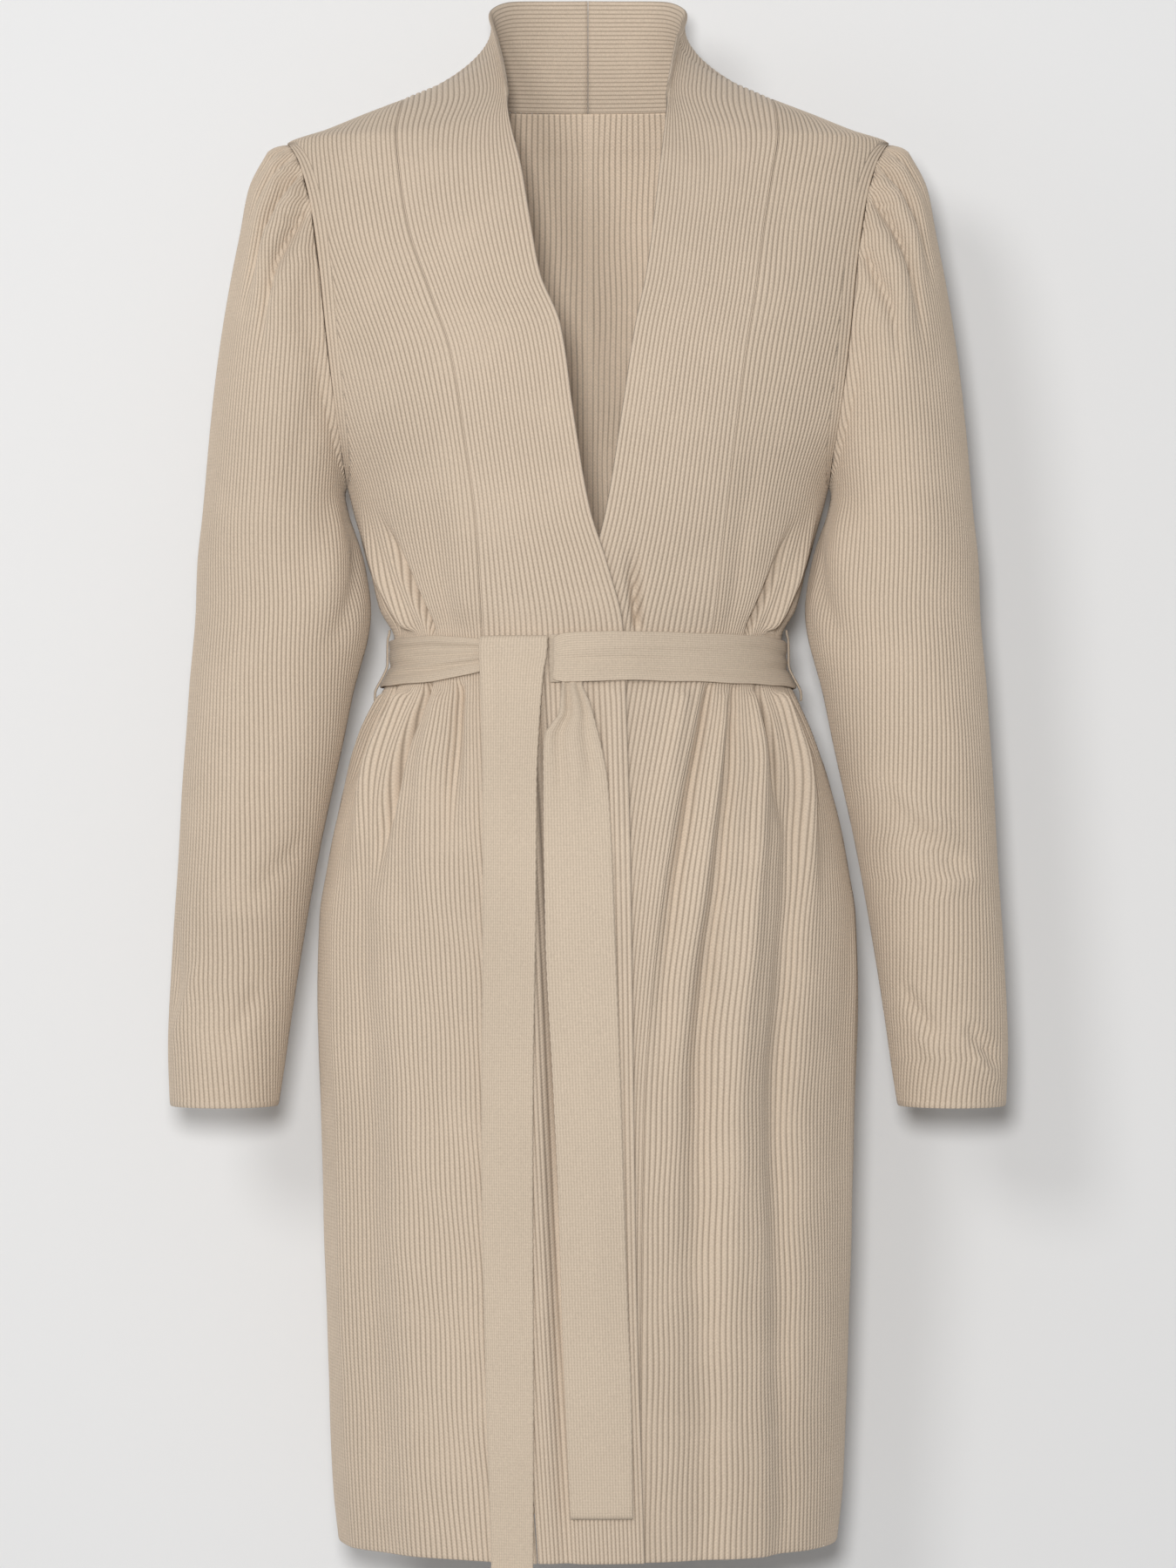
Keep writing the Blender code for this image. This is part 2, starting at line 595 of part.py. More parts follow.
def armhole_loop(side, angle):
    # The armhole's edge as the panels' own points join it, at an angle from its top.
    rows = np.array((UNDERARM_Z,) + ROWS_AT_ARM)
    middle = (SHOULDER_TIP_Z + UNDERARM_Z) / 2
    half = (SHOULDER_TIP_Z - UNDERARM_Z) / 2
    z = middle + half * np.cos(angle)
    front = plain_body_point(armhole_angle("front", rows), rows)
    back = plain_body_point(math.pi - armhole_angle("back", rows), rows)
    is_front = np.sin(angle) >= 0
    x = np.where(is_front, np.interp(z, rows, front[:, 0]), np.interp(z, rows, back[:, 0]))
    y = np.where(is_front, np.interp(z, rows, front[:, 1]), np.interp(z, rows, back[:, 1]))
    return np.stack([side * x, y, z], axis=-1)


def tuck_depth(angle):
    # Depth of the gathers at an angle from the top of the sleeve's head.
    degrees = np.degrees(np.mod(angle + math.pi, 2 * math.pi) - math.pi)
    total = np.zeros(np.shape(angle))
    for row in TUCKS:
        tuck = dict(zip(TUCK_COLUMNS, row))
        total = total + tuck["depth"] * np.exp(-((degrees - tuck["angle"]) / tuck["width"]) ** 2)
    return total


def sleeve_grid(side, angle):
    table = np.array(SLEEVE)
    loops = [armhole_loop(side, angle)]
    for row in table:
        ring = dict(zip(SLEEVE_COLUMNS, row))
        middle_x = (ring["outer_x"] + ring["inner_x"]) / 2
        middle_z = (ring["outer_z"] + ring["inner_z"]) / 2
        reach_x = (ring["outer_x"] - ring["inner_x"]) / 2
        reach_z = (ring["outer_z"] - ring["inner_z"]) / 2
        x = middle_x + reach_x * np.cos(angle)
        z = middle_z + reach_z * np.cos(angle)
        y = -ring["forward"] - ring["depth"] * np.sin(angle)
        loops.append(np.stack([side * x, y, z], axis=-1))
    return np.array(loops)


def make_sleeve(name, side, colour):
    angle = np.arange(SLEEVE_COLUMNS_ROUND) * 2 * math.pi / SLEEVE_COLUMNS_ROUND
    grid = sleeve_grid(side, angle)
    wrapped = np.concatenate([grid[:, -1:], grid, grid[:, :1]], axis=1)
    normal = grid_normals(wrapped)[:, 1:-1]
    to_outside = np.sign(normal[-1, 0, 0] * side)
    normal = normal * to_outside
    grid[0] = grid[0] + np.array([side * SEAM_GAP, 0.0, 0.0])
    rib = np.zeros(SLEEVE_COLUMNS_ROUND)
    rib[0::2] = RIB_HEIGHT
    drop = np.broadcast_to(rib, grid.shape[:2]).copy()
    fade = np.zeros(len(grid))
    fade[:len(GATHER_SHARES)] = GATHER_SHARES
    deep = fade[:, None] * tuck_depth(angle)[None, :]
    outer = grid - normal * (drop + deep)[..., None]
    thin = slice(None, None, INNER_STEP)
    inner = grid[:, thin] - normal[:, thin] * (WALL + deep[:, thin])[..., None]
    return add_wall(name, outer, inner, INNER_STEP, colour, round_shape=True)


def smooth_body_point(angle, z, out):
    # A place off the body, as if it had no folds.
    angle, z, out = np.broadcast_arrays(angle, z, out)
    return plain_body_point(angle, z) + body_normal(angle, z) * out[..., None]


def strip_wall(name, outer, thickness, colour):
    normal = grid_normals(outer)
    middle = (outer.shape[0] // 2, outer.shape[1] // 2)
    facing = outer[middle] * np.array([1.0, 1.0, 0.0])
    normal = normal * np.sign(np.dot(normal[middle], facing))
    return add_wall(name, outer, outer - normal * thickness, 1, colour)


def make_belt_waist(colour):
    angles = np.concatenate([np.linspace(*stretch) for stretch in BELT_ANGLES])
    top = column(BELT, BELT_COLUMNS, "angle", "top_z", angles)
    bottom = column(BELT, BELT_COLUMNS, "angle", "bottom_z", angles)
    off = column(BELT, BELT_COLUMNS, "angle", "off", angles)
    share = np.linspace(0, 1, BELT_ROWS_ACROSS)[None, :]
    z = bottom[:, None] * (1 - share) + top[:, None] * share
    angle = np.radians(angles)[:, None] + 0 * share
    inside = smooth_body_point(angle, z, off[:, None])
    outside = smooth_body_point(angle, z, off[:, None] + BELT_WALL)
    return add_wall("belt_waist", outside, inside, 1, colour)


def with_body_rows(rows):
    # The strip's rows, with one added at each row of the body below the belt, so that it
    # lies on the skirt as the panels do.
    table = np.array(rows)
    lowest = table[-1, 0]
    added = [z for z in ROWS_BELOW_ARM if lowest + ROW_CLEAR_OF_END < z < LAID_ON_SKIRT_Z]
    apart = [min(abs(z - a) for a in added) for z in table[:, 0]]
    own = table[(np.array(apart) > ROWS_APART) | (table[:, 0] > LAID_ON_SKIRT_Z)]
    heights = np.array(sorted(set(own[:, 0]) | set(added), reverse=True))
    lower = heights[heights < LAID_ON_SKIRT_Z]
    upper = table[table[:, 0] > LAID_ON_SKIRT_Z]
    down = table[::-1]
    filled = [np.interp(lower, down[:, 0], down[:, i]) for i in range(len(STRIP_COLUMNS))]
    return np.concatenate([upper, np.array(filled).T])


def make_strip(name, rows, thickness, columns, colour):
    table = with_body_rows(rows) if rows[-1][0] < LAID_ON_SKIRT_Z else np.array(rows)
    share = np.linspace(0, 1, columns)[None, :]
    z = table[:, 0][:, None] + 0 * share
    x = table[:, 1][:, None] * (1 - share) + table[:, 2][:, None] * share
    outer = smooth_body_point(angle_of(x, z), z, table[:, 3][:, None])
    return strip_wall(name, outer, thickness, colour)


def make_carrier(name, side, colour):
    table = np.array(CARRIER)
    z = table[:, 0][:, None]
    across = np.array([-0.5, 0.0, 0.5])[None, :] * CARRIER_WIDTH
    turn = across / body("front", z)
    outer = smooth_body_point(side * (math.pi / 2 + turn), z, table[:, 1][:, None])
    return strip_wall(name, outer, CARRIER_WALL, colour)


RIB_COLOUR = (0.56, 0.46, 0.36)
BELT_COLOUR = (0.58, 0.48, 0.38)


def main():
    clear_scene()
    make_back(RIB_COLOUR)
    make_front("front_right", -1, RIB_COLOUR)
    make_front("front_left", 1, RIB_COLOUR)
    make_band("band_right", -1, RIB_COLOUR)
    make_band("band_left", 1, RIB_COLOUR)
    make_sleeve("sleeve_right", -1, RIB_COLOUR)
    make_sleeve("sleeve_left", 1, RIB_COLOUR)
    make_belt_waist(BELT_COLOUR)
    make_strip("belt_knot", KNOT, BELT_WALL, TAIL_COLUMNS, BELT_COLOUR)
    make_strip("belt_tail_front", TAIL_FRONT, BELT_WALL, TAIL_COLUMNS, BELT_COLOUR)
    make_strip("belt_tail_under", TAIL_UNDER, BELT_WALL, TAIL_COLUMNS, BELT_COLOUR)
    make_carrier("belt_loop_right", -1, BELT_COLOUR)
    make_carrier("belt_loop_left", 1, BELT_COLOUR)


main()
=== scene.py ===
import math
from collections import namedtuple

import bpy
import numpy as np
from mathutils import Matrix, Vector


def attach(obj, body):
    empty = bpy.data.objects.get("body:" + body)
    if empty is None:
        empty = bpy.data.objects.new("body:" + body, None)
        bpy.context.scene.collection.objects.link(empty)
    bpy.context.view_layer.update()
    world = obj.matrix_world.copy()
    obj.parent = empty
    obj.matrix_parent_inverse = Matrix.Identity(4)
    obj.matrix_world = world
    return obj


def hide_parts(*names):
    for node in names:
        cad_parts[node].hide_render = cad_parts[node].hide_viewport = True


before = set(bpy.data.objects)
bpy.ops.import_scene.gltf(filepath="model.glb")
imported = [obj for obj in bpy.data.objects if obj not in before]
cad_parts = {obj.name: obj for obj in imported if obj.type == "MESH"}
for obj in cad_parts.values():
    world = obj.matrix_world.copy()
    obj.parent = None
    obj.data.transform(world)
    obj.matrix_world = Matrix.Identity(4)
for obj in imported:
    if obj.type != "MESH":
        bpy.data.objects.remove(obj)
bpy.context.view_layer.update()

# Rib knit: ribs are raised in the mesh, stitches are bump
RIB_DEPTH = 0.00095
RIB_PHASES = (0.0, 0.2, 0.5, 0.8)
RIB_PROFILE = (-1.0, -0.22, 0.0, -0.22)
KNIT_WALL = 0.0021
INNER_RIB = 0.0005
GROOVE_FROM = -0.6
EDGE_ROUND = 0.00055
HEM_REACH = 0.0014
CUFF_REACH = 0.0022
SEAM_SINK = 0.0002
SEAM_SHARES = (1.0, 0.45, 0.1)
SEAM_GAP = 0.0003
HALF_GAP = SEAM_GAP / 2
NEAR = 1e-6

# Ribs counted on from these numbers run along an armhole, or lie on an inner face; the knit shader
# paints inner faces of the body and sleeves lighter, as painted light.
EDGE_RIB_COUNT = 1000
INSIDE_COUNT = 4000
EDGE_RIBS = 3

# Rows of points down the body and the sleeves, and how close they lie on the back
BODY_ROW_COUNTS = (84, 26, 17, 48, 7, 18)
SLEEVE_ROW_COUNTS = (14, 19, 38, 12, 16, 54)
BACK_ROW_DENSITY = 0.60
COLLAR_ROWS = 40
COLLAR_ROW_STEP = 0.006
ARC_SAMPLES = 240
ROUND_SAMPLES = 721
HEAD_RINGS = 6

HEM_Z = -0.908
SHOULDER_TIP_Z = -0.028
UNDERARM_Z = -0.245
OVERLAP_LIFT = 0.0036
LIFT_ACROSS = (-0.075, -0.034)
LIFT_TOP = (-0.285, -0.225)
COLLAR_SAG = 0.0150
SAG_SKEW = 1.35
COLLAR_TUCK = 0.0006
ARMHOLE_LAP = 0.0006
HEAD_PUFF = 0.0028
PUFF_SPAN = ((-0.001, 0.010), (0.012, 0.075))
TUCK_START = (0.0, 0.008)
HEAD_DROP = 0.012
SLEEVE_RADIUS = 0.050
CREASE_RADIUS = 0.047
FOLD_RADIUS = 0.14
BELT_WALL = 0.0019
BELT_WIDTH = 0.032
BELT_EDGE = 0.0007
BELT_WAVE = 0.00035
BELT_TOOTH = 0.00018
BELT_END_ANGLE = -365.5
BELT_END_SPAN = 4.0
TOOTH_STEP = 0.0062
CARRIER_WIDTH = 0.0035
CARRIER_WALL = 0.0012
CARRIER_CROWN = 0.0005

# Colours and steps of the knit. In each pair the first colour is the cloth's own, and the second,
# darker one is painted shade for the grooves between ribs, or between the belt's lines and courses.
RIB_COLOUR_AND_GROOVE_SHADE = ((0.622, 0.508, 0.394), (0.37, 0.294, 0.222))
BAND_COLOUR_AND_GROOVE_SHADE = ((0.628, 0.514, 0.400), (0.39, 0.310, 0.235))
BELT_COLOUR_AND_GROOVE_SHADE = ((0.630, 0.518, 0.405), (0.50, 0.410, 0.312))
# How much lighter the inner faces of the body and sleeves are painted: painted light that stands in
# for light reaching the inside.
INSIDE_PAINTED_LIGHT = 0.30
STITCH_STEP = 0.0021
BELT_LINE_STEP = 0.0014
BELT_COURSE_STEP = 0.0017

BACKDROP_Y = 0.150
BACKDROP_HALF = 4
BACKDROP_COLOUR = (0.81, 0.81, 0.81)
WORLD_STRENGTH = 0.30
CAMERA_PLACE = (0.0, -3.5, -0.432)
CAMERA_LENS = 127.3

# Lamps: name, place, what it aims at, size and power
LIGHTS = [
    ("front", (-0.10, -3.4, -0.20), (0.0, 0.0, -0.42), 0.35, 64.0),
    ("key", (-1.05, -3.0, 0.60), (0.0, 0.0, -0.4), 0.8, 22.0),
    ("side", (-3.2, -1.7, 0.6), (0.0, 0.0, -0.4), 1.6, 10.0),
]

# The two sides of the garment: the word for each and its sign along X
SIDES = (("right", -1), ("left", 1))


def table(columns, rows, plain=""):
    # Rows of named columns, written in millimetres but for the plain ones (angles, shares,
    # counts), and turned to metres.
    names = columns.split()
    scales = [1 if name in plain.split() else 1000 for name in names]
    return [{name: value / scale for name, value, scale in zip(names, row, scales)}
            for row in rows]


# Outside of the body, one row a height: half width, depth in front, depth behind
BODY = table("z half_width front back", [
    (-908, 157, 116, 120),
    (-872, 160.9, 117, 121.5),
    (-762, 164.7, 119, 124.5),
    (-652, 168, 121, 127.5),
    (-570, 170.6, 122, 129),
    (-515, 169.1, 120.5, 127),
    (-487, 164.7, 118, 124),
    (-459, 159.5, 115, 119),
    (-421, 149.3, 108, 109),
    (-399, 141.6, 103, 102),
    (-377, 131.5, 97, 94.5),
    (-356, 122.2, 92, 88),
    (-340, 122.2, 92.5, 87.5),
    (-322, 131, 96.5, 89),
    (-295, 137.8, 101.5, 92.5),
    (-262, 147.5, 106.5, 97),
    (-245, 152, 108, 99),
    (-200, 176, 107.5, 102),
    (-150, 190, 103, 103),
    (-100, 197, 94, 101),
    (-70, 198, 87, 96),
    (-42, 195.5, 78, 89),
    (-28, 190, 72, 84),
    (-20, 167.5, 69, 80),
    (-10, 142.5, 65, 75),
    (0, 116, 60, 70),
])

# Edge of the armhole, one row a height: half width reached by the front and by the back
ARMHOLE = table("z front back", [
    (-245, 152, 152),
    (-235, 153, 154.5),
    (-200, 158, 164),
    (-150, 164, 171),
    (-110, 168, 174.5),
    (-70, 174, 178.5),
    (-42, 182, 184.5),
    (-34, 186.2, 187),
    (-28, 190, 190),
])

# Seam between a front and its band, as a distance from the middle, for each front
BAND_SEAM = table("z right left", [
    (-908, 30.5, 31),
    (-751, 41.1, 32.5),
    (-627, 48.8, 34.8),
    (-558, 52.8, 40.1),
    (-462, 59, 52.4),
    (-369, 64.7, 71.5),
    (-335.5, 65.8, 77.9),
    (-271.7, 69.2, 85),
    (-218.4, 76.1, 91),
    (-165.2, 85.1, 97.5),
    (-127.5, 98.1, 103.5),
    (-88.8, 111.2, 108.6),
    (-54, 117, 114.2),
    (-25.8, 119.5, 118.3),
    (-7.7, 117.2, 117.2),
    (0, 116, 116),
])

# Free edge of each band. A row belongs to the height of the seam across from it.
# right_x and left_x are along +X, free says how far the band stands off the chest.
BAND_EDGE = table("seam_z edge_z right_x left_x edge_y free", [
    (-908, -908, 34.9, -26, -110, 0),
    (-751, -751, 30.1, -25.5, -110, 0),
    (-627, -627, 28.2, -25, -110, 0),
    (-462, -462, 26, -22, -110, 0),
    (-369, -369, 23.4, -15, -95, 0),
    (-335.5, -335.5, 21.8, -10.4, -90, 0),
    (-303.7, -297.4, 12.1, 2, -98, 0),
    (-271.7, -263.8, 1.4, 11, -104, 0),
    (-218.4, -205, -8.7, 20.5, -104, 0),
    (-165.2, -150, -16.8, 29, -100, 0),
    (-127.5, -117, -29.6, 36, -94, 0),
    (-88.8, -84.5, -35.5, 40.5, -88, 0),
    (-54, -50, -41.2, 44.5, -76, 0.3),
    (-25.8, -17.6, -49, 48.5, -52, 0.7),
    (-7.7, 16.5, -54.5, 54, -20, 1),
    (0, 42, -60, 59, 12, 1),
], "free")

# The first columns of a band, by its seam: shares of its width, rib counts and depths
BAND_MARGIN = ((0.0, 0.003, 0.0045, 0.006), (-0.52, -0.51, -0.5, -0.5), (-0.9, -0.3, -0.1, -0.1))
BAND_FREE_EDGE = (-0.5, -1.3)
BAND_RIBS = 26
BAND_PLAIN_SHARE = 0.010

# Top edge of the collar behind the neck, one row a station: share of the way from the
# shoulder to the centre back, then where the edge is
COLLAR = table("share x y z", [
    (0, 60, 12, 42),
    (0.22, 64, 35, 58.5),
    (0.48, 51, 56, 68.5),
    (0.75, 27, 66, 70.8),
    (1, 0, 68, 71.4),
], "share")

# Rings of a sleeve from the head to the cuff: its upper outer point, its lower inner
# point, its depth each way, and how far its middle is forward
SLEEVE = table("outer_x outer_z inner_x inner_z depth forward", [
    (200, -35, 152.6, -246.2, 56, 0),
    (212.5, -57, 153, -247.5, 60, 0),
    (219, -83, 153.2, -249, 61.5, 0),
    (226.2, -118, 153.1, -251, 61.5, 0),
    (232.2, -157, 152.8, -253.5, 60.5, 0),
    (238, -207, 152.2, -256.5, 59.5, 0),
    (243.4, -262, 150, -265, 58, 1),
    (246.5, -294.5, 140.2, -294.5, 56.5, 2),
    (247.5, -322, 136.5, -322, 55, 3),
    (251.7, -377, 148.6, -377, 52, 5),
    (255.5, -432, 160.4, -432, 49, 7),
    (258.8, -487, 171.7, -487, 45.5, 9),
    (262.1, -542, 181, -542, 42, 11),
    (263.8, -597, 189.3, -597, 38.5, 13),
    (263.4, -619, 192.5, -619, 37, 14),
    (262.8, -634, 194.5, -634, 36.2, 14),
])

# The belt's stretch round the waist, from under the front tail by way of the back to the
# knot: angle from the middle of the front, its two edges, and how far its inside stands off
BELT = table("angle top_z bottom_z off", [
    (-369.5, -338.8, -372.2, 7),
    (-362, -337.4, -371.6, 7),
    (-350, -337.2, -370, 5),
    (-335, -338.2, -369.6, 2),
    (-310, -339.2, -370.8, 1.4),
    (-270, -342.5, -372.8, 1.4),
    (-180, -342, -374, 1.4),
    (-90, -341.8, -372.2, 1.4),
    (-50, -339.8, -369.5, 1.4),
    (-34, -342, -364.5, 2.2),
    (-26, -345, -360, 3.2),
], "angle")

# A hanging or upright strip of belt: height, its two edges, and how far its outside stands off
STRIP_COLUMNS = "z x_1 x_2 off"
TAIL_FRONT = table(STRIP_COLUMNS, [
    (-341.8, -62.2, -24, 5.6),
    (-340.4, -62.4, -23.8, 6.6),
    (-340.2, -62.6, -23.6, 8.2),
    (-341.8, -63, -23.7, 9.5),
    (-346.9, -63.4, -23.8, 10),
    (-366, -63.2, -26.2, 10),
    (-390, -62.8, -28.5, 9.4),
    (-432, -62.6, -30.6, 9),
    (-520, -62.8, -31, 7.2),
    (-618.2, -63, -32.1, 6.4),
    (-751.2, -62, -32.8, 6.4),
    (-850, -60, -32.8, 6.4),
    (-905.5, -58, -32.7, 6.4),
    (-922, -57.8, -33, 6.4),
])
TAIL_UNDER = table(STRIP_COLUMNS, [
    (-360, -14.2, -4, 6.2),
    (-372.5, -16, -3.5, 6.8),
    (-380, -16.6, -0.6, 7.6),
    (-390, -17.6, 2.6, 7.6),
    (-397, -22.5, 4.4, 7.2),
    (-403, -26.2, 6, 6.8),
    (-412.3, -27, 8.2, 6.4),
    (-432, -27, 11.5, 6.2),
    (-520, -25.8, 16, 6.2),
    (-618.2, -20.5, 20, 6.2),
    (-683.6, -17.3, 22, 6.2),
    (-750, -15.5, 23.8, 6.2),
    (-814, -13.6, 25.8, 6.2),
    (-880, -10.9, 26.4, 6.2),
])
KNOT = table(STRIP_COLUMNS, [
    (-339.8, -22.8, -14, 6.2),
    (-343, -23.2, -13, 6.5),
    (-352, -23.2, -12.8, 6.5),
    (-360, -23, -14.5, 6.5),
    (-371.2, -22.6, -16.5, 6.2),
])

# A carrier at a side seam, over the belt: height and how far its outside stands off
CARRIER = table("z off", [
    (-334, 1.8),
    (-337, 3.4),
    (-340, 4.4),
    (-350, 4.7),
    (-364, 4.7),
    (-374.5, 4.4),
    (-377.5, 3.4),
    (-380.5, 1.8),
])

# Folds of the body, each along the rib that passes a place (angle from the middle of the
# front in degrees, and height) to another height; half width across, how far out (+) or in
# (-), and by how many degrees its far end leaves the rib, if it does
FOLDS = table("angle z_1 z_2 half_width out lean", [
    # right side of the bodice (photo left), pulled towards the belt
    (-53, -336, -262, 5.6, -12, -9),
    (-62, -336, -252, 8, 7.8, -9),
    (-74, -336, -290, 6, -3),
    (-44, -334, -240, 10, -1.8),
    (-37, -330, -180, 10, 1.4),
    # left side of the bodice
    (55, -336, -268, 5.6, -11.5, 8),
    (64, -336, -252, 8.2, 7.4, 8),
    (75, -336, -290, 6, -3),
    (45, -334, -200, 10, -2),
    # right side of the skirt
    (-52, -366, -500, 5.4, -15, -8),
    (-60, -368, -500, 8, 8.4, -6),
    (-46, -370, -540, 8, 4),
    (-39.5, -366, -480, 5.8, -8.6, -1),
    (-71, -370, -440, 5.8, -6, -3),
    (-80, -372, -450, 7, 3),
    (-60, -460, -1100, 14, -3.4),
    (-70, -500, -1150, 12, 2.2),
    (-45, -560, -1100, 14, 1.6),
    # left side of the skirt
    (37.5, -366, -640, 5, -8),
    (41.5, -374, -720, 6.2, 5.2),
    (46, -366, -780, 7.6, -7.6),
    (51.5, -374, -800, 8, 5.4),
    (56.5, -366, -462, 5.2, -15, 5),
    (58, -420, -840, 12.5, -6.6),
    (65, -368, -530, 7, 8.4, 4),
    (77, -370, -430, 5.8, -3.6),
    (27, -520, -1150, 12, -4, 4),
    (33, -540, -1200, 13, 2.6, 3),
    (39.5, -560, -1300, 12, 3.4, 2),
    (47, -540, -1200, 13, -3.4, 2),
    (78, -520, -860, 12, 2),
    # middle of the skirt, under the tails
    (-11.2, -405, -1050, 4.8, -11),
    (14.5, -336, -285, 4.2, -8.5, -2.5),
    (2, -368, -560, 8, -2.6),
    (9, -372, -520, 7, 2),
    (29, -368, -480, 6, 2.6),
    # back
    (180, -372, -700, 13, -4.2),
    (168, -372, -560, 8, 2.6),
    (153, -370, -660, 8, -5.8),
    (161, -376, -640, 10, 2.6),
    (-148, -370, -620, 8, -5.6),
    (-163, -372, -500, 7, -4),
    (-139, -374, -660, 11, 3.4),
    (138, -372, -520, 7, -4.4),
    (124, -368, -520, 7, -6.6),
    (-122, -368, -500, 7, -6.6),
    (112, -372, -500, 9, 4),
    (-110, -372, -520, 9, 3.8),
    (165, -336, -250, 8.5, -4.2),
    (-162, -336, -240, 8.5, -4),
    (150, -334, -240, 10, 3),
    (-146, -334, -250, 9, 3.4),
    (128, -334, -262, 7, -5),
    (-126, -334, -268, 7, -5),
    (116, -334, -256, 8, 4),
    (-115, -334, -256, 8, 4),
    (180, -330, -150, 16, -3),
], "angle lean")

# Tucks gathered into a sleeve's head, each along a rib counted from the outer line (front
# positive): half width, depth, and how far down from the armhole it runs
TUCK_COLUMNS = "rib width depth reach"
TUCKS_RIGHT = table(TUCK_COLUMNS, [
    (7, 2.2, 2.2, 45),
    (12, 2, 3.6, 60),
    (17, 2.6, 8.8, 100),
    (20.2, 3, -2.2, 85),
    (23.5, 2.6, 8.6, 95),
    (27.5, 5, -2.2, 85),
    (-7, 2.2, 3, 55),
    (-13, 2.2, 3.4, 70),
    (-20, 2.2, 4, 60),
    (-26, 2.4, 2.2, 50),
], "rib")
TUCKS_LEFT = table(TUCK_COLUMNS, [
    (9, 2.2, 3, 60),
    (15, 2.6, 8, 90),
    (18.5, 3, -2, 85),
    (21.5, 2.6, 8.6, 105),
    (25, 4, -2.6, 90),
    (28.5, 2.4, 6, 70),
    (-8, 2.2, 3.4, 60),
    (-14, 2.2, 3.6, 75),
    (-21, 2.2, 3.6, 60),
    (-28, 2.4, 2, 50),
], "rib")

# Creases of the sleeves: angle round the sleeve from its outer line (front positive) and
# height of both ends, half width across, and how far out (+) or in (-)
CREASE_COLUMNS = "angle_1 z_1 angle_2 z_2 half_width out"
CREASES_RIGHT = table(CREASE_COLUMNS, [
    (150, -258, 112, -330, 9, 3.4),
    (165, -280, 126, -352, 7, -3.6),
    (120, -180, 96, -300, 12, -2),
    (18, -520, 34, -580, 10, -3.4),
    (60, -545, 22, -600, 7, 1.8),
    (140, -470, 96, -505, 8, -2.2),
    (84, -420, 60, -520, 12, 1.6),
    (120, -560, 84, -600, 7, -2),
    (-30, -380, -80, -425, 9, -3.4),
    (-60, -430, -120, -458, 8, 3),
    (-100, -460, -150, -505, 9, -3),
    (-150, -262, -110, -330, 9, 3.4),
    (-165, -285, -126, -350, 7, -3.4),
], "angle_1 angle_2")
CREASES_LEFT = table(CREASE_COLUMNS, [
    (150, -258, 114, -326, 9, 3.4),
    (165, -280, 128, -350, 7, -3.6),
    (116, -190, 92, -300, 12, -1.8),
    (112, -434, 66, -468, 7.5, 3.4),
    (106, -458, 56, -490, 6.4, -4),
    (84, -496, 46, -488, 6.5, 2.4),
    (134, -560, 104, -592, 6.2, -3.6),
    (128, -582, 98, -608, 5.5, 2.6),
    (74, -584, 36, -606, 5.6, -3.8),
    (68, -600, 30, -620, 5.4, 2.6),
    (60, -380, 44, -500, 13, 1.4),
    (-30, -390, -80, -430, 9, -3.4),
    (-60, -440, -120, -465, 8, 3),
    (-100, -468, -150, -510, 9, -3),
    (-150, -262, -110, -330, 9, 3.4),
    (-165, -285, -126, -350, 7, -3.4),
], "angle_1 angle_2")

# Creases along the belt: from one place to another (angle or height, and share of the
# width from one edge), half width as a share, and how far out (+) or in (-)
BELT_CREASE_COLUMNS = "at_1 share_1 at_2 share_2 half_width out"
BELT_CREASES = table(BELT_CREASE_COLUMNS, [
    (-80, 0.16, -26, 0.36, 0.05, -1.4),
    (-66, 0.36, -26, 0.5, 0.05, 1.2),
    (-64, 0.6, -26, 0.6, 0.04, -1.6),
    (-88, 0.82, -26, 0.72, 0.05, -1.4),
    (-74, 0.92, -26, 0.86, 0.05, 1),
    (-96, 0.44, -50, 0.46, 0.05, -1),
    (-110, 0.5, -60, 0.48, 0.09, -0.5),
    (-366, 0.26, -300, 0.22, 0.06, -1),
    (-366, 0.68, -318, 0.76, 0.06, 0.8),
    (-368, 0.5, -336, 0.44, 0.05, -1.2),
    (-312, 0.78, -268, 0.7, 0.05, -1.2),
    (-304, 0.34, -262, 0.42, 0.05, -1),
    (-300, 0.56, -258, 0.58, 0.05, 0.8),
    (-290, 0.6, -230, 0.52, 0.11, -0.5),
    (-215, 0.34, -150, 0.42, 0.11, 0.5),
    (-170, 0.7, -120, 0.64, 0.09, -0.5),
], "at_1 at_2 share_1 share_2 half_width")
TAIL_FRONT_CREASES = table(BELT_CREASE_COLUMNS, [
    (-342, 0.24, -400, 0.18, 0.07, -0.8),
    (-342, 0.52, -420, 0.46, 0.08, 0.6),
    (-342, 0.76, -390, 0.8, 0.06, -0.8),
    (-400, 0.86, -760, 0.9, 0.08, -0.5),
    (-430, 0.3, -640, 0.34, 0.2, 0.5),
    (-640, 0.6, -900, 0.56, 0.18, 0.4),
], "share_1 share_2 half_width")
TAIL_UNDER_CREASES = table(BELT_CREASE_COLUMNS, [
    (-366, 0.3, -440, 0.26, 0.09, -2.2),
    (-366, 0.12, -412, 0.1, 0.08, 1.2),
    (-366, 0.55, -450, 0.5, 0.1, 1.2),
    (-366, 0.78, -430, 0.74, 0.07, -1.8),
    (-430, 0.2, -620, 0.16, 0.12, -0.5),
    (-520, 0.6, -820, 0.56, 0.18, 0.5),
], "share_1 share_2 half_width")
KNOT_CREASES = table(BELT_CREASE_COLUMNS, [
    (-342, 0.4, -368, 0.55, 0.13, -0.6),
], "share_1 share_2 half_width")

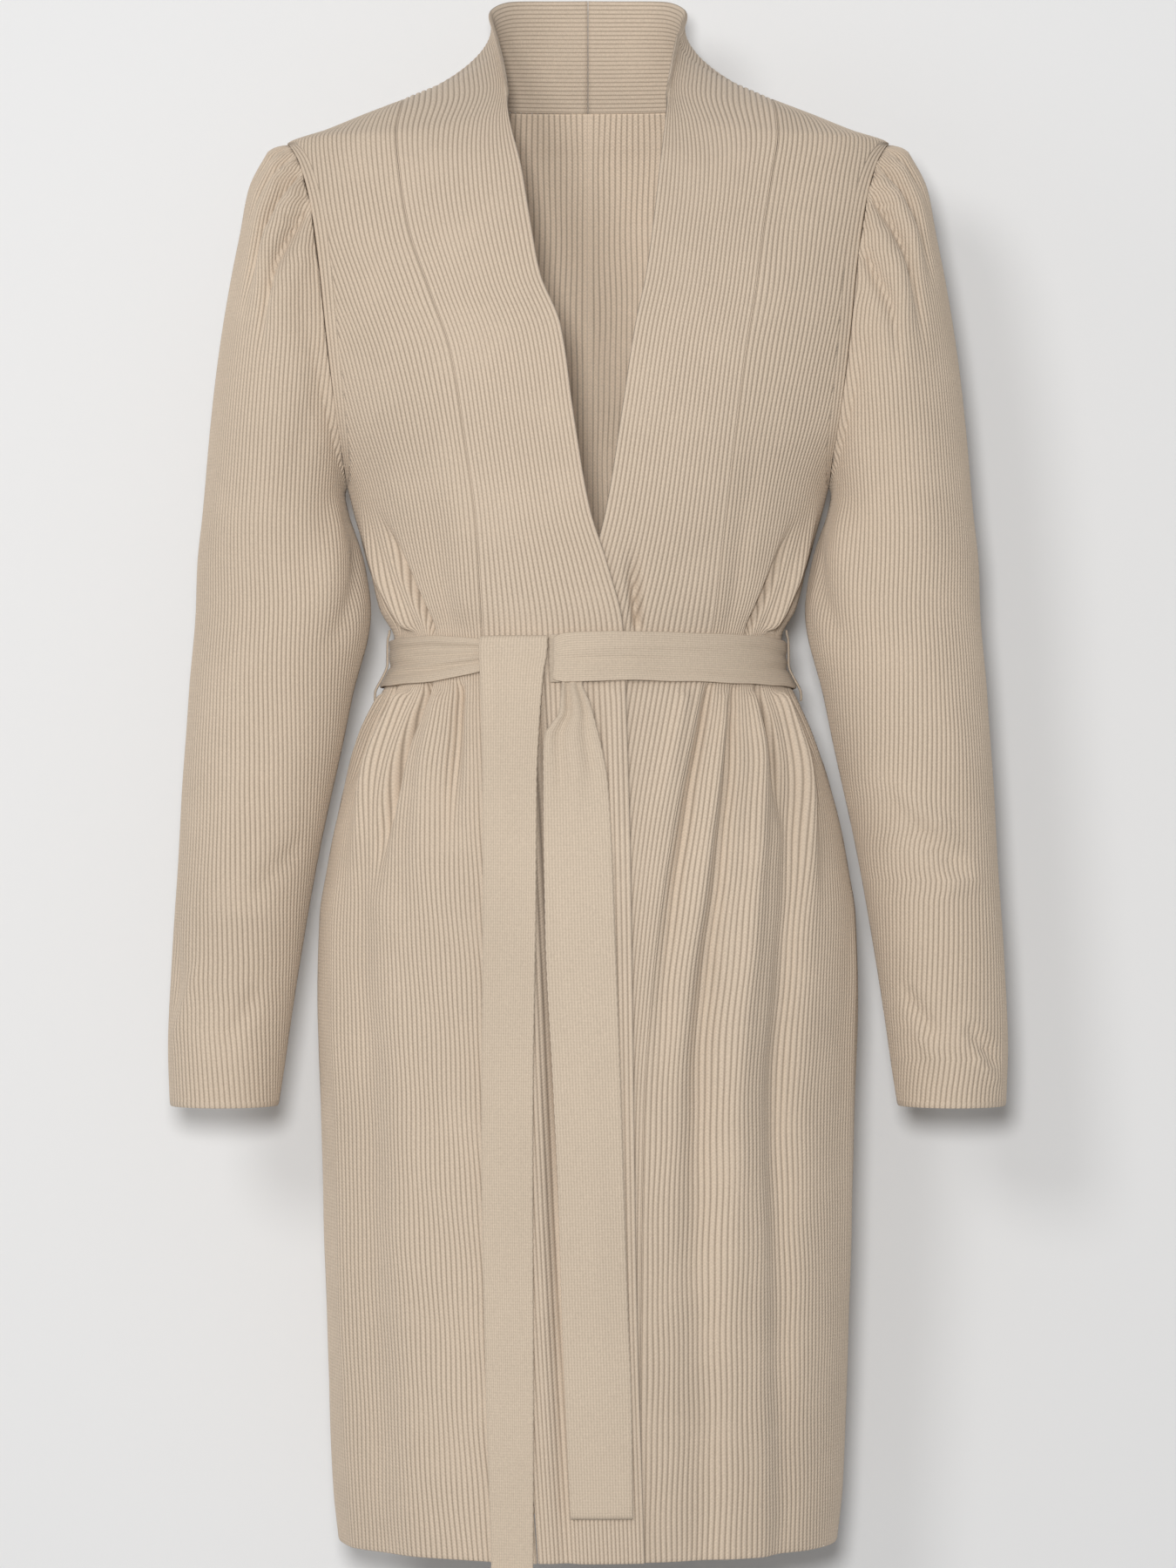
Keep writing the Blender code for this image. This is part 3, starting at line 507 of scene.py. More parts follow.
# Distance between ribs of the body, of the back and of the sleeves, by height
PITCH = table("z front back sleeve", [
    (-910, 3.45, 3.45, 3.5),
    (-750, 3.35, 3.4, 3.5),
    (-620, 3.22, 3.3, 3.45),
    (-540, 3.18, 3.22, 3.3),
    (-500, 3.14, 3.17, 3.22),
    (-460, 3.07, 3.08, 3.15),
    (-420, 2.89, 2.91, 3.08),
    (-390, 2.59, 2.64, 3),
    (-366, 2.36, 2.46, 2.94),
    (-340, 2.38, 2.48, 2.9),
    (-300, 2.72, 2.86, 2.88),
    (-260, 2.94, 3.15, 2.87),
    (-200, 3.08, 3.4, 2.86),
    (-100, 3.3, 3.6, 2.76),
    (-45, 3.28, 3.6, 2.52),
    (0, 3.25, 3.6, 2),
])

# Ribs are drawn in towards the middle of the front and of the back where the belt holds them
WAIST_Z = -0.354
WAIST_REACH = 0.044
WAIST_PULL = 0.019
RIBS_DRAWN_IN = (0.002, 0.090)
FRONT_RIB_START = 0.0005

# Where folds and creases begin and die out, as shares of their length
FOLD_FADES = ((-0.10, 0.10), (0.35, 1.08))
CREASE_FADES = ((-0.15, 0.2), (0.6, 1.15))
BELT_CREASE_FADES = ((-0.1, 0.25), (0.75, 1.2))

# Heights over which the belt comes to hold the cloth, by its lower and its upper edge
HELD_OUT = ((-0.3790, -0.3730), (-0.3390, -0.3330))
HELD_IN = ((-0.3720, -0.3650), (-0.3460, -0.3400))


def smooth_slopes(xs, ys):
    # Slopes of a curve through the points that makes no new bumps between them.
    steps = np.diff(xs)
    rises = np.diff(ys) / steps
    slopes = np.zeros(len(xs))
    slopes[[0, -1]] = rises[[0, -1]]
    for i in range(1, len(xs) - 1):
        if rises[i - 1] * rises[i] > 0:
            before = 2 * steps[i] + steps[i - 1]
            after = steps[i] + 2 * steps[i - 1]
            slopes[i] = (before + after) / (before / rises[i - 1] + after / rises[i])
    return slopes


def curve(xs, ys, at):
    # A smooth curve through points, read at the given places.
    slopes = smooth_slopes(xs, ys)
    at = np.clip(np.asarray(at, float), xs[0], xs[-1])
    i = np.clip(np.searchsorted(xs, at) - 1, 0, len(xs) - 2)
    width = xs[i + 1] - xs[i]
    t = (at - xs[i]) / width
    start = (1 + 2 * t) * (1 - t) ** 2
    end = t * t * (3 - 2 * t)
    leave = t * (1 - t) ** 2 * width
    arrive = t * t * (t - 1) * width
    return start * ys[i] + end * ys[i + 1] + leave * slopes[i] + arrive * slopes[i + 1]


def column(rows, wanted, at):
    # A column of a table as a smooth function of its first one.
    first = next(iter(rows[0]))
    xs = np.array([row[first] for row in rows])
    ys = np.array([row[wanted] for row in rows])
    return curve(xs, ys, at)


def run_through(gone, values, wanted):
    # Every column of values as a smooth function of the distance gone.
    return np.stack([curve(gone, line, wanted) for line in values.T], axis=-1)


def values_of(rows):
    return np.array([list(row.values()) for row in rows])


def gone_along(points):
    # Distance gone at each point of a line.
    return np.append(0.0, np.cumsum(np.linalg.norm(np.diff(points, axis=0), axis=1)))


def unit(vectors):
    return vectors / np.maximum(np.linalg.norm(vectors, axis=-1, keepdims=True), 1e-12)


def as_grids(*values):
    return np.broadcast_arrays(*(np.asarray(value, float) for value in values))


def between(one, two, share):
    return one * (1 - share) + two * share


def step_up(value, low, high):
    t = np.clip((value - low) / (high - low), 0, 1)
    return t * t * (3 - 2 * t)


def within(value, low, high):
    # 1 between two soft edges, each given by where it starts and ends.
    return step_up(value, *low) * (1 - step_up(value, *high))


def nearness(distance, reach):
    # 1 at an edge, down to 0 at the reach.
    return np.clip(1 - distance / reach, 0, 1)


def wrapped(turn):
    # The same turn, within half a round each way.
    return np.mod(turn + math.pi, 2 * math.pi) - math.pi


def even_rows(stops, counts):
    # Even steps between stops, without the last stop.
    return [np.linspace(low, high, count)[:-1]
            for low, high, count in zip(stops, stops[1:], counts)]


def body(name, z):
    return column(BODY, name, z)


def pitch_at(name, z):
    return column(PITCH, name, z)


def plain_body_point(angle, z):
    # A place on the body without its folds, at an angle from the middle of the front.
    angle, z = as_grids(angle, z)
    along = np.cos(angle)
    depth = np.where(along >= 0, body("front", z), body("back", z))
    return np.stack([body("half_width", z) * np.sin(angle), -depth * along, z], axis=-1)


def body_normal(angle, z):
    turn = 1e-3
    rise = 5e-4
    up_z = np.minimum(z + rise, 0.0)
    round_way = plain_body_point(angle + turn, z) - plain_body_point(angle - turn, z)
    up_way = plain_body_point(angle, up_z) - plain_body_point(angle, up_z - 2 * rise)
    return unit(np.cross(round_way, up_way))


def front_lift(x, z):
    # The over front rides on the under front from the waist down.
    return OVERLAP_LIFT * step_up(x, *LIFT_ACROSS) * (1 - step_up(z, *LIFT_TOP))


def crease_field(angle, z, creases):
    # Sum of soft troughs and ridges that run along lines on a sleeve.
    total = np.zeros(z.shape)
    for crease in creases:
        turn = math.radians(crease["angle_2"] - crease["angle_1"])
        way = np.array([turn * CREASE_RADIUS, crease["z_2"] - crease["z_1"]])
        length = np.linalg.norm(way)
        way = way / length
        off_x = wrapped(angle - math.radians(crease["angle_1"])) * CREASE_RADIUS
        off_z = z - crease["z_1"]
        reach = (off_x * way[0] + off_z * way[1]) / length
        aside = off_x * way[1] - off_z * way[0]
        wide = crease["half_width"] * (0.75 + 0.5 * np.clip(reach, 0, 1))
        total = total + crease["out"] * within(reach, *CREASE_FADES) * np.exp(-(aside / wide) ** 2)
    return total


def gentle_waves(across, z):
    # Slight unevenness of the cloth everywhere.
    one = np.sin(across * 61.0 + 7.0 * np.sin(z * 9.0)) * np.sin(z * 31.0 + 1.7)
    two = np.sin(across * 27.0 - z * 13.0 + 0.6) * np.sin(z * 17.0 + across * 11.0)
    return 0.00022 * one + 0.00034 * two


def rib_path(angle, z_1, z_2):
    # Angles, at heights from one to another, of the rib that passes a place on the body.
    way = z_2 - z_1
    heights = np.linspace(z_1 - 0.2 * way, z_2 + 0.2 * way, 30)
    levels = np.clip(heights, HEM_Z, -0.001)
    side = 1 if angle > 0 else -1
    turn = math.radians(angle)
    seam = side * seam_angle(side, z_1)
    if abs(turn) < abs(seam):
        return heights, turn / seam * side * seam_angle(side, levels)
    name = "back"
    start = 0.0
    begin = np.full(len(heights), side * math.pi)
    if abs(angle) < 90:
        name = "front"
        start = FRONT_RIB_START
        begin = side * seam_angle(side, levels)
    end = side * math.pi / 2
    begin_1 = np.interp(z_1, *np.array(sorted(zip(heights, begin))).T)
    arc = angles_by_arc(begin_1, turn, z_1, 0.0)[1]
    counts = np.arange(0, 90, 0.1)
    count = np.interp(arc, rib_place(counts, z_1, name, start), counts)
    found = [angles_by_arc(first, end, z, rib_place(count, z, name, start))[0]
             for first, z in zip(begin, levels)]
    return heights, np.array(found)


def find_fold_paths():
    paths = []
    for fold in FOLDS:
        heights, turns = rib_path(fold["angle"], fold["z_1"], fold["z_2"])
        reach = (heights - fold["z_1"]) / (fold["z_2"] - fold["z_1"])
        turns = turns + math.radians(fold.get("lean", 0.0)) * reach
        order = np.argsort(heights)
        paths.append((fold, heights[order], turns[order]))
    return paths


def fold_height(angle, z):
    # Sum of soft troughs and ridges that run along the ribs, flat under the belt.
    total = gentle_waves(angle * FOLD_RADIUS, z)
    for fold, heights, turns in FOLD_PATHS:
        aside = wrapped(angle - np.interp(z, heights, turns)) * FOLD_RADIUS
        reach = (z - fold["z_1"]) / (fold["z_2"] - fold["z_1"])
        wide = fold["half_width"] * (0.72 + 0.62 * np.clip(reach, 0, 1))
        total = total + fold["out"] * within(reach, *FOLD_FADES) * np.exp(-(aside / wide) ** 2)
    return total * (1 - np.where(total > 0, within(z, *HELD_OUT), within(z, *HELD_IN)))


def body_point(angle, z, out):
    angle, z = as_grids(angle, z)
    away = np.asarray(out) + fold_height(angle, z)
    return plain_body_point(angle, z) + body_normal(angle, z) * away[..., None]


def smooth_body_point(angle, z, out):
    # A place off the body, as if it had no folds.
    angle, z, out = as_grids(angle, z, out)
    return plain_body_point(angle, z) + body_normal(angle, z) * out[..., None]


def angle_of(x, z):
    return np.arcsin(np.clip(x / body("half_width", z), -1, 1))


def armhole_angle(face, z):
    edge = angle_of(column(ARMHOLE, face, np.clip(z, UNDERARM_Z, SHOULDER_TIP_Z)), z)
    closed = (z < UNDERARM_Z + NEAR) | (z > SHOULDER_TIP_Z - NEAR)
    return np.where(closed, math.pi / 2, edge)


def seam_angle(side, z):
    return angle_of(column(BAND_SEAM, "right" if side < 0 else "left", z), z)


def body_rows(top, density):
    # Heights of the rows of points: close at the hem, by the belt and over the shoulder.
    stops = [HEM_Z + 0.006, -0.400, -0.320, UNDERARM_Z, -0.046, SHOULDER_TIP_Z, -0.004]
    counts = [int(round(count * density)) for count in BODY_ROW_COUNTS]
    hem = HEM_Z + np.array([0.0, 0.0004, 0.0014, 0.0030])
    return np.concatenate([hem, *even_rows(stops, counts), np.linspace(stops[-1], top, 5)])


def hem_drop(rows):
    # The hem's last few rows round over its edge.
    return EDGE_ROUND * nearness(rows - HEM_Z, HEM_REACH) ** 2


def rib_steps(count):
    # Places of the columns across ribs, counted in ribs, and how deep each one lies.
    steps = np.repeat(np.arange(count), len(RIB_PHASES)) + np.tile(RIB_PHASES, count)
    return np.append(steps, count), np.append(np.tile(RIB_PROFILE, count), RIB_PROFILE[0])


def wander(place, z):
    # Ribs stray a little along their way.
    slow = 0.00062 * np.sin(place * 40.0 + z * 38.0)
    quick = 0.00026 * np.sin(place * 110.0 - z * 95.0 + 1.0)
    return place + (slow + quick) * step_up(place, 0.0, 0.01)


def rib_place(steps, z, name, start):
    # How far round a panel's ribs lie from its first edge.
    plain = start + steps * pitch_at(name, z)
    held = np.exp(-((z - WAIST_Z) / WAIST_REACH) ** 2)
    return wander(plain, z) - WAIST_PULL * held * step_up(plain, *RIBS_DRAWN_IN)


def angles_by_arc(first, last, z, wanted):
    # Angles at the wanted distances along the body's round between two angles, and its length.
    angles = first + (last - first) * np.linspace(0, 1, ARC_SAMPLES)
    gone = gone_along(plain_body_point(angles, z))
    return np.interp(wanted, gone, angles), gone[-1]


def rib_columns(rows, first, last, name, start):
    # Angle, rib count and depth of a panel's columns, row by row. Ribs run on from the first
    # angle, and the last few follow the last angle instead; what runs out between ends there.
    pitch = pitch_at(name, rows)
    wholes = np.array([angles_by_arc(*ends, 0.0)[1] for ends in zip(first, last, rows)])
    steps, depth = rib_steps(int(np.ceil((wholes + WAIST_PULL - start) / pitch).max()))
    edge_steps, edge_depth = rib_steps(EDGE_RIBS)
    count = np.concatenate([[-0.5], steps, EDGE_RIB_COUNT + edge_steps])
    found = []
    for r, z in enumerate(rows):
        limit = max(wholes[r] - EDGE_RIBS * pitch[r], 0.0)
        free = rib_place(steps, z, name, start)
        by_edge = np.maximum(wholes[r] - (EDGE_RIBS - edge_steps) * pitch[r], limit)
        place = np.concatenate([[0.0], np.minimum(free, limit), by_edge])
        angle = angles_by_arc(first[r], last[r], z, place)[0]
        drop = np.concatenate([[-0.5], np.where(free > limit, RIB_PROFILE[0], depth), edge_depth])
        found.append(np.stack([angle, count, drop], axis=-1))
    return np.array(found)


def made_odd(columns):
    # The inner face takes every second column, so their number is made odd.
    if columns.shape[1] % 2 == 0:
        columns = np.concatenate([columns, columns[:, -1:]], axis=1)
    return columns


def join_sides(minus, plus):
    # Columns on both sides of a middle line; the second last value, the count, is negative
    # on the first side.
    minus = minus[:, :0:-1].copy()
    minus[..., -2] *= -1
    return made_odd(np.concatenate([minus, plus], axis=1))


# One closed cloth wall: an outer and an inner grid of points, and the knit's own map
Shell = namedtuple("Shell", "name outer inner outer_map inner_map open_rows")


def knit_shell(name, base, normal, depth, sink, round_off, count, along, inside, open_rows=None):
    # A wall of rib knit: ribs outside, and an inner face with half the columns.
    outer = base + normal * (RIB_DEPTH * depth - sink - round_off)[..., None]
    under = round_off - KNIT_WALL - INNER_RIB * (depth < GROOVE_FROM)
    inner = (base + normal * under[..., None])[:, ::2]
    knit_map = np.stack(np.broadcast_arrays(count, along), axis=-1)
    return Shell(name, outer, inner, knit_map, knit_map[:, ::2] + [inside, 0.0], open_rows)


def shell_piece(shell, material):
    name, outer, inner, outer_map, inner_map, open_rows = shell
    rows, fine = outer.shape[:2]
    coarse = inner.shape[1]
    step = (fine - 1) // (coarse - 1)
    points = np.concatenate([outer.reshape(-1, 3), inner.reshape(-1, 3)])
    uv = np.concatenate([outer_map.reshape(-1, 2), inner_map.reshape(-1, 2)])
    out = np.arange(rows * fine).reshape(rows, fine)
    inn = rows * fine + np.arange(rows * coarse).reshape(rows, coarse)
    side = slice(0, open_rows)
    faces = [quads(out), quads(inn)[:, ::-1],
             rim(out[0], inn[0], step)[:, ::-1], rim(out[-1], inn[-1], step),
             rim(out[side, 0], inn[side, 0], 1), rim(out[side, -1], inn[side, -1], 1)[:, ::-1]]
    return mesh_piece(name, points, uv, np.concatenate(faces), material)


def quads(index):
    a, b, c, d = index[:-1, :-1], index[:-1, 1:], index[1:, 1:], index[1:, :-1]
    return np.concatenate([np.stack(corners, axis=-1).reshape(-1, 3)
                           for corners in ((a, b, c), (a, c, d))])


def rim(fine, coarse, step):
    # Triangles between a fine row of points and one with every step-th of them.
    faces = []
    for i in range(len(coarse) - 1):
        low = i * step
        middle = low + step // 2
        for j in range(low, low + step):
            faces.append((fine[j], fine[j + 1], coarse[i] if j < middle else coarse[i + 1]))
        faces.append((fine[middle], coarse[i + 1], coarse[i]))
    return np.array(faces)


def mesh_piece(name, points, uv, faces, material):
    # Points at one place are merged and triangles that have shrunk to nothing are left out.
    _, first, merged = np.unique(np.round(points, 6), axis=0, return_index=True, return_inverse=True)
    solid = merged.reshape(-1)[faces]
    keep = (solid != np.roll(solid, 1, axis=1)).all(axis=1)
    solid = solid[keep]
    corner_uv = uv[faces[keep]]
    places = points[first]
    corners = places[solid] - places.mean(axis=0)
    volume = np.einsum("ij,ij->i", corners[:, 0], np.cross(corners[:, 1], corners[:, 2])).sum()
    if volume < 0:
        solid = solid[:, ::-1]
        corner_uv = corner_uv[:, ::-1]
    mesh = bpy.data.meshes.new(name)
    mesh.vertices.add(len(places))
    mesh.vertices.foreach_set("co", places.astype(np.float32).ravel())
    mesh.loops.add(len(solid) * 3)
    mesh.loops.foreach_set("vertex_index", solid.astype(np.int32).ravel())
    mesh.polygons.add(len(solid))
    mesh.polygons.foreach_set("loop_start", (np.arange(len(solid)) * 3).astype(np.int32))
    mesh.polygons.foreach_set("loop_total", np.full(len(solid), 3, np.int32))
    layer = mesh.uv_layers.new(name="knit")
    layer.data.foreach_set("uv", corner_uv.astype(np.float32).ravel())
    mesh.update(calc_edges=True)
    mesh.validate()
    mesh.polygons.foreach_set("use_smooth", np.ones(len(mesh.polygons), bool))
    mesh.update()
    mesh.materials.append(material)
    return in_scene(name, mesh)


def in_scene(name, data):
    thing = bpy.data.objects.new(name, data)
    bpy.context.scene.collection.objects.link(thing)
    return thing


def grid_normals(grid):
    # Normals of a grid, from each point's neighbours.
    return unit(np.cross(np.gradient(grid, axis=1), np.gradient(grid, axis=0)))


def folded_normal(angle, z, lift):
    # Outward normals of the folded body, so that ribs stand square on the folds.
    turn = 0.004
    rise = 0.0008
    low = np.minimum(z - rise, -2 * rise)
    one = body_point(angle + turn, z, lift) - body_point(angle - turn, z, lift)
    two = body_point(angle, low + 2 * rise, lift) - body_point(angle, low, lift)
    return unit(np.cross(one, two))


def panel_shell(name, rows, columns, is_over):
    # Seams at the sides of a panel sink a little, so that they show as soft lines.
    angle, count, depth = np.moveaxis(columns, -1, 0)
    z = np.broadcast_to(rows[:, None], angle.shape)
    raised = front_lift(plain_body_point(angle, z)[..., 0], z) if is_over else 0.0
    sink = np.zeros(angle.shape[1])
    sink[:3] = SEAM_SINK * np.array(SEAM_SHARES)
    sink[-3:] = sink[2::-1]
    return knit_shell(name, body_point(angle, z, raised), folded_normal(angle, z, raised), depth,
                      sink, hem_drop(rows)[:, None], count, z, INSIDE_COUNT)


def front_shell(word, side):
    rows = body_rows(-0.0001, 1.0)
    gap_angle = HALF_GAP / body("front", rows)
    first = side * (seam_angle(side, rows) + gap_angle)
    last = side * (armhole_angle("front", rows) - gap_angle)
    columns = made_odd(rib_columns(rows, first, last, "front", FRONT_RIB_START))
    return panel_shell("cloth_front_" + word, rows, columns, side < 0)


def back_shell():
    # The back's ribs are counted from its middle to both sides.
    rows = body_rows(-0.0002, BACK_ROW_DENSITY)
    edge = armhole_angle("back", rows) - HALF_GAP / body("back", rows)
    middle = np.full(len(rows), math.pi)
    halves = [rib_columns(rows, middle, math.pi + side * edge, "back", 0.0) for side in (-1, 1)]
    return panel_shell("cloth_back", rows, join_sides(*halves), False)


def sag_shape(share):
    # How the hollow of the collar runs from its seam (0) to its free edge (1).
    skewed = share ** SAG_SKEW
    return 4 * skewed * (1 - skewed)


def band_front_grid(word, side, rows, share):
    # Points of a front band on the chest: it leaves the chest only near the neck.
    seam_x = side * column(BAND_SEAM, word, rows)
    seam = body_point(side * (seam_angle(side, rows) - HALF_GAP / body("front", rows)), rows, 0.0)
    names = (word + "_x", "edge_y", "edge_z")
    edge = np.stack([column(BAND_EDGE, name, rows) for name in names], axis=-1)
    free = column(BAND_EDGE, "free", rows)[:, None]
    x = between(seam_x[:, None], edge[:, :1], share)
    z = between(rows[:, None], edge[:, 2:], share)
    on_chest = body_point(angle_of(x, np.minimum(z, 0)), np.minimum(z, 0), 0.0)
    straight = between(seam[:, None], edge[:, None], share[..., None])
    grid = between(on_chest, straight, free[..., None])
    grid[..., 0] -= side * COLLAR_SAG * sag_shape(share) * free ** 2
    if side < 0:
        grid[..., 1] -= front_lift(x, z)
    return grid


def band_back_grid(side, way, share):
    # Points of the collar behind the neck, standing on the back neck seam.
    seam = plain_body_point(side * (math.pi / 2 + way * (math.pi / 2)), np.zeros(len(way)))
    seam[:, 2] -= COLLAR_TUCK
    edge = np.stack([column(COLLAR, name, way) for name in "xyz"], axis=-1) * [side, 1, 1]
    grid = between(seam[:, None], edge[:, None], share[..., None])
    grid[..., 0] -= side * COLLAR_SAG * sag_shape(share) * np.cos(way * math.pi / 2)[:, None]
    return grid


def band_columns():
    # Shares of a band's width, rib counts and depths: a margin, ribs, and a rounded free edge.
    steps, depth = rib_steps(BAND_RIBS)
    depth[-2:] = BAND_FREE_EDGE
    share = BAND_PLAIN_SHARE + (1 - BAND_PLAIN_SHARE) * steps / BAND_RIBS
    return [np.append(first, rest) for first, rest in zip(BAND_MARGIN, (share, steps, depth))]


def band_shell(word, side):
    share, count, depth = band_columns()
    share = share[None, :]
    rows = body_rows(0.0, 1.0)
    back = band_back_grid(side, np.linspace(0.0, 1.0, COLLAR_ROWS)[1:], share)
    base = np.concatenate([band_front_grid(word, side, rows, share), back])
    normal = grid_normals(base)
    normal = normal * np.sign(-normal[0, 0, 1])
    round_off = np.append(hem_drop(rows), np.zeros(len(back)))[:, None]
    gone = np.append(rows, COLLAR_ROW_STEP * np.arange(1, len(back) + 1))[:, None]
    shell = knit_shell("cloth_band_" + word, base, normal, depth[None, :], 0.0, round_off,
                       count, gone, 0)
    for grid in (shell.outer, shell.inner):
        grid[len(rows):, :, 0] = side * np.maximum(side * grid[len(rows):, :, 0], HALF_GAP)
        grid[-1, :, 0] = side * HALF_GAP
    return shell


def armhole_loop(side, angle):
    # The armhole's edge as the panels' own points join it, at an angle from its top.
    rows = np.linspace(UNDERARM_Z, SHOULDER_TIP_Z, 60)
    middle = (SHOULDER_TIP_Z + UNDERARM_Z) / 2
    half = (SHOULDER_TIP_Z - UNDERARM_Z) / 2
    z = middle + half * np.cos(angle)
    front = body_point(side * armhole_angle("front", rows), rows, 0.0)
    back = body_point(side * (math.pi - armhole_angle("back", rows)), rows, 0.0)
    in_front = np.sin(angle) >= 0
    x, y = (np.where(in_front, np.interp(z, rows, front[:, i]), np.interp(z, rows, back[:, i]))
            for i in (0, 1))
    return np.stack([x, y, z], axis=-1)


def sleeve_rings():
    # The sleeve's rings at close, even steps down its outer line, and how far off its end.
    rings = values_of(SLEEVE)
    gone = gone_along(rings[:, :2])
    last = gone[-1]
    steps = even_rows([0, 0.10, last - 0.004], (34, 92))
    wanted = np.concatenate([*steps, last - np.array([0.004, 0.0022, 0.0010, 0.0003, 0.0])])
    return run_through(gone, rings, wanted), last - wanted


def ring_points(side, rings, angle):
    outer_x, outer_z, inner_x, inner_z, depth, forward = rings.T[:, :, None]
    x = (outer_x + inner_x) / 2 + (outer_x - inner_x) / 2 * np.cos(angle)
    z = (outer_z + inner_z) / 2 + (outer_z - inner_z) / 2 * np.cos(angle)
    y = -forward - depth * np.sin(angle)
    return np.stack([side * x, y, z], axis=-1)


def ribs_from_outer_line(grid, even):
    # How many ribs each place of a sleeve lies from its outer line at its own height.
    line = grid[::-1, grid.shape[1] // 2]
    heights = np.maximum.accumulate(line[:, 2])
    z = grid[..., 2]
    away = np.hypot(grid[..., 0] - np.interp(z, heights, line[:, 0]),
                    grid[..., 1] - np.interp(z, heights, line[:, 1]))
    arc = 2 * SLEEVE_RADIUS * np.arcsin(np.clip(away / (2 * SLEEVE_RADIUS), 0, 1))
    return np.sign(even)[None, :] * arc / pitch_at("sleeve", z)


def tuck_depth(tucks, ribs, z, gone):
    # How deep the gathers of the head lie, fading down the sleeve.
    total = np.zeros(ribs.shape)
    for tuck in tucks:
        spread = tuck["width"] * (1 + 0.8 * np.clip(gone / tuck["reach"], 0, 1))
        fade = within(gone, TUCK_START, (0.25 * tuck["reach"], tuck["reach"]))
        aside = (ribs - tuck["rib"]) * pitch_at("sleeve", z)
        total = total + tuck["depth"] * fade * np.exp(-(aside / spread) ** 2)
    return total


def sleeve_surface(side, tucks, creases):
    # The folded sleeve at even angles round it, from the armhole down: for each point its
    # place, its normal, and its distances from the armhole and from the cuff's end.
    rings, to_end = sleeve_rings()
    even = np.linspace(-math.pi, math.pi, ROUND_SAMPLES)
    grid = ring_points(side, rings, even[None, :])
    loop = armhole_loop(side, even) - np.array([side * ARMHOLE_LAP, 0.0, 0.0])
    shares = np.linspace(0, 1, HEAD_RINGS, endpoint=False)
    head = [between(loop, grid[0], share) for share in shares]
    grid = np.concatenate([np.array(head), grid])
    to_end = np.append(to_end[0] + HEAD_DROP * (1 - shares), to_end)
    steps = np.linalg.norm(np.diff(grid, axis=0), axis=2)
    gone = np.concatenate([np.zeros((1, grid.shape[1])), np.cumsum(steps, axis=0)])
    angle, down = np.broadcast_arrays(even[None, :], to_end[:, None])
    z = grid[..., 2]
    fold = crease_field(angle, z, creases)
    fold = fold + gentle_waves(0.06 * np.sin(angle) + 0.03 * np.cos(angle), z) * 1.2
    fold = fold * step_up(gone, 0.0, 0.02) * step_up(down, 0.0, 0.03)
    puff = HEAD_PUFF * step_up(np.cos(angle), -0.1, 0.8) * within(gone, *PUFF_SPAN)
    fold = fold + puff - tuck_depth(tucks, ribs_from_outer_line(grid, even), z, gone)
    folded = grid + round_normals(grid) * fold[..., None]
    return np.concatenate([folded, round_normals(folded), gone[..., None], down[..., None]], axis=-1)


def round_normals(grid):
    # Outward normals of a grid whose last column is its first again.
    whole = grid[:, :-1]
    across = np.roll(whole, -1, axis=1) - np.roll(whole, 1, axis=1)
    normal = unit(np.cross(across, np.gradient(whole, axis=0)))
    outward = np.sum(normal[-1] * (whole[-1] - whole[-1].mean(axis=0)))
    normal = normal * np.sign(outward)
    return np.concatenate([normal, normal[:, :1]], axis=1)


def sleeve_rows(end):
    # Level cuts through a sleeve: close over the shoulder, at the underarm and at the cuff.
    top = SHOULDER_TIP_Z
    stops = [top, top - 0.012, -0.090, -0.232, UNDERARM_Z, -0.300, end + 0.006]
    cuff = end + np.array([0.006, 0.0044, 0.0032, 0.0022, 0.0010, 0.0003, 0.0])
    return np.concatenate([*even_rows(stops, SLEEVE_ROW_COUNTS), cuff])


def half_sleeve(way, surface, rows):
    # Ribs of half a sleeve, row by row, each a point of the surface with its rib count and
    # depth. They run down as straight as it does, and those next to the body end along the
    # armhole.
    half = surface.shape[1] // 2
    surface = surface[:, half:] if way > 0 else surface[:, half::-1]
    loop = surface[0]
    lines = np.array([[np.interp(rows, line[::-1, 2], values) for values in line[::-1].T]
                      for line in np.moveaxis(surface, 1, 0)])
    cuts = []
    for r, z in enumerate(rows):
        reached = int(np.sum(loop[:, 2] >= z - 1e-9))
        cut = lines[:reached, :, r]
        if reached < len(loop):
            high = loop[reached - 1]
            low = loop[reached]
            share = (high[2] - z) / max(high[2] - low[2], 1e-9)
            cut = np.concatenate([cut, [between(high, low, share)]])
        cuts.append((cut, gone_along(cut[:, :3])))
    pitch = pitch_at("sleeve", rows)
    longest = max(math.ceil(gone[-1] / apart) for (cut, gone), apart in zip(cuts, pitch))
    steps, depth = rib_steps(longest)
    found = []
    for (cut, gone), apart in zip(cuts, pitch):
        free = wander(steps * apart, rows[-1])
        at = np.minimum(free, gone[-1])
        place = [np.interp(at, gone, values) for values in cut.T]
        drop = np.where(free >= gone[-1], RIB_PROFILE[0], depth)
        found.append(np.stack([*place, steps, drop], axis=-1))
    return np.array(found)


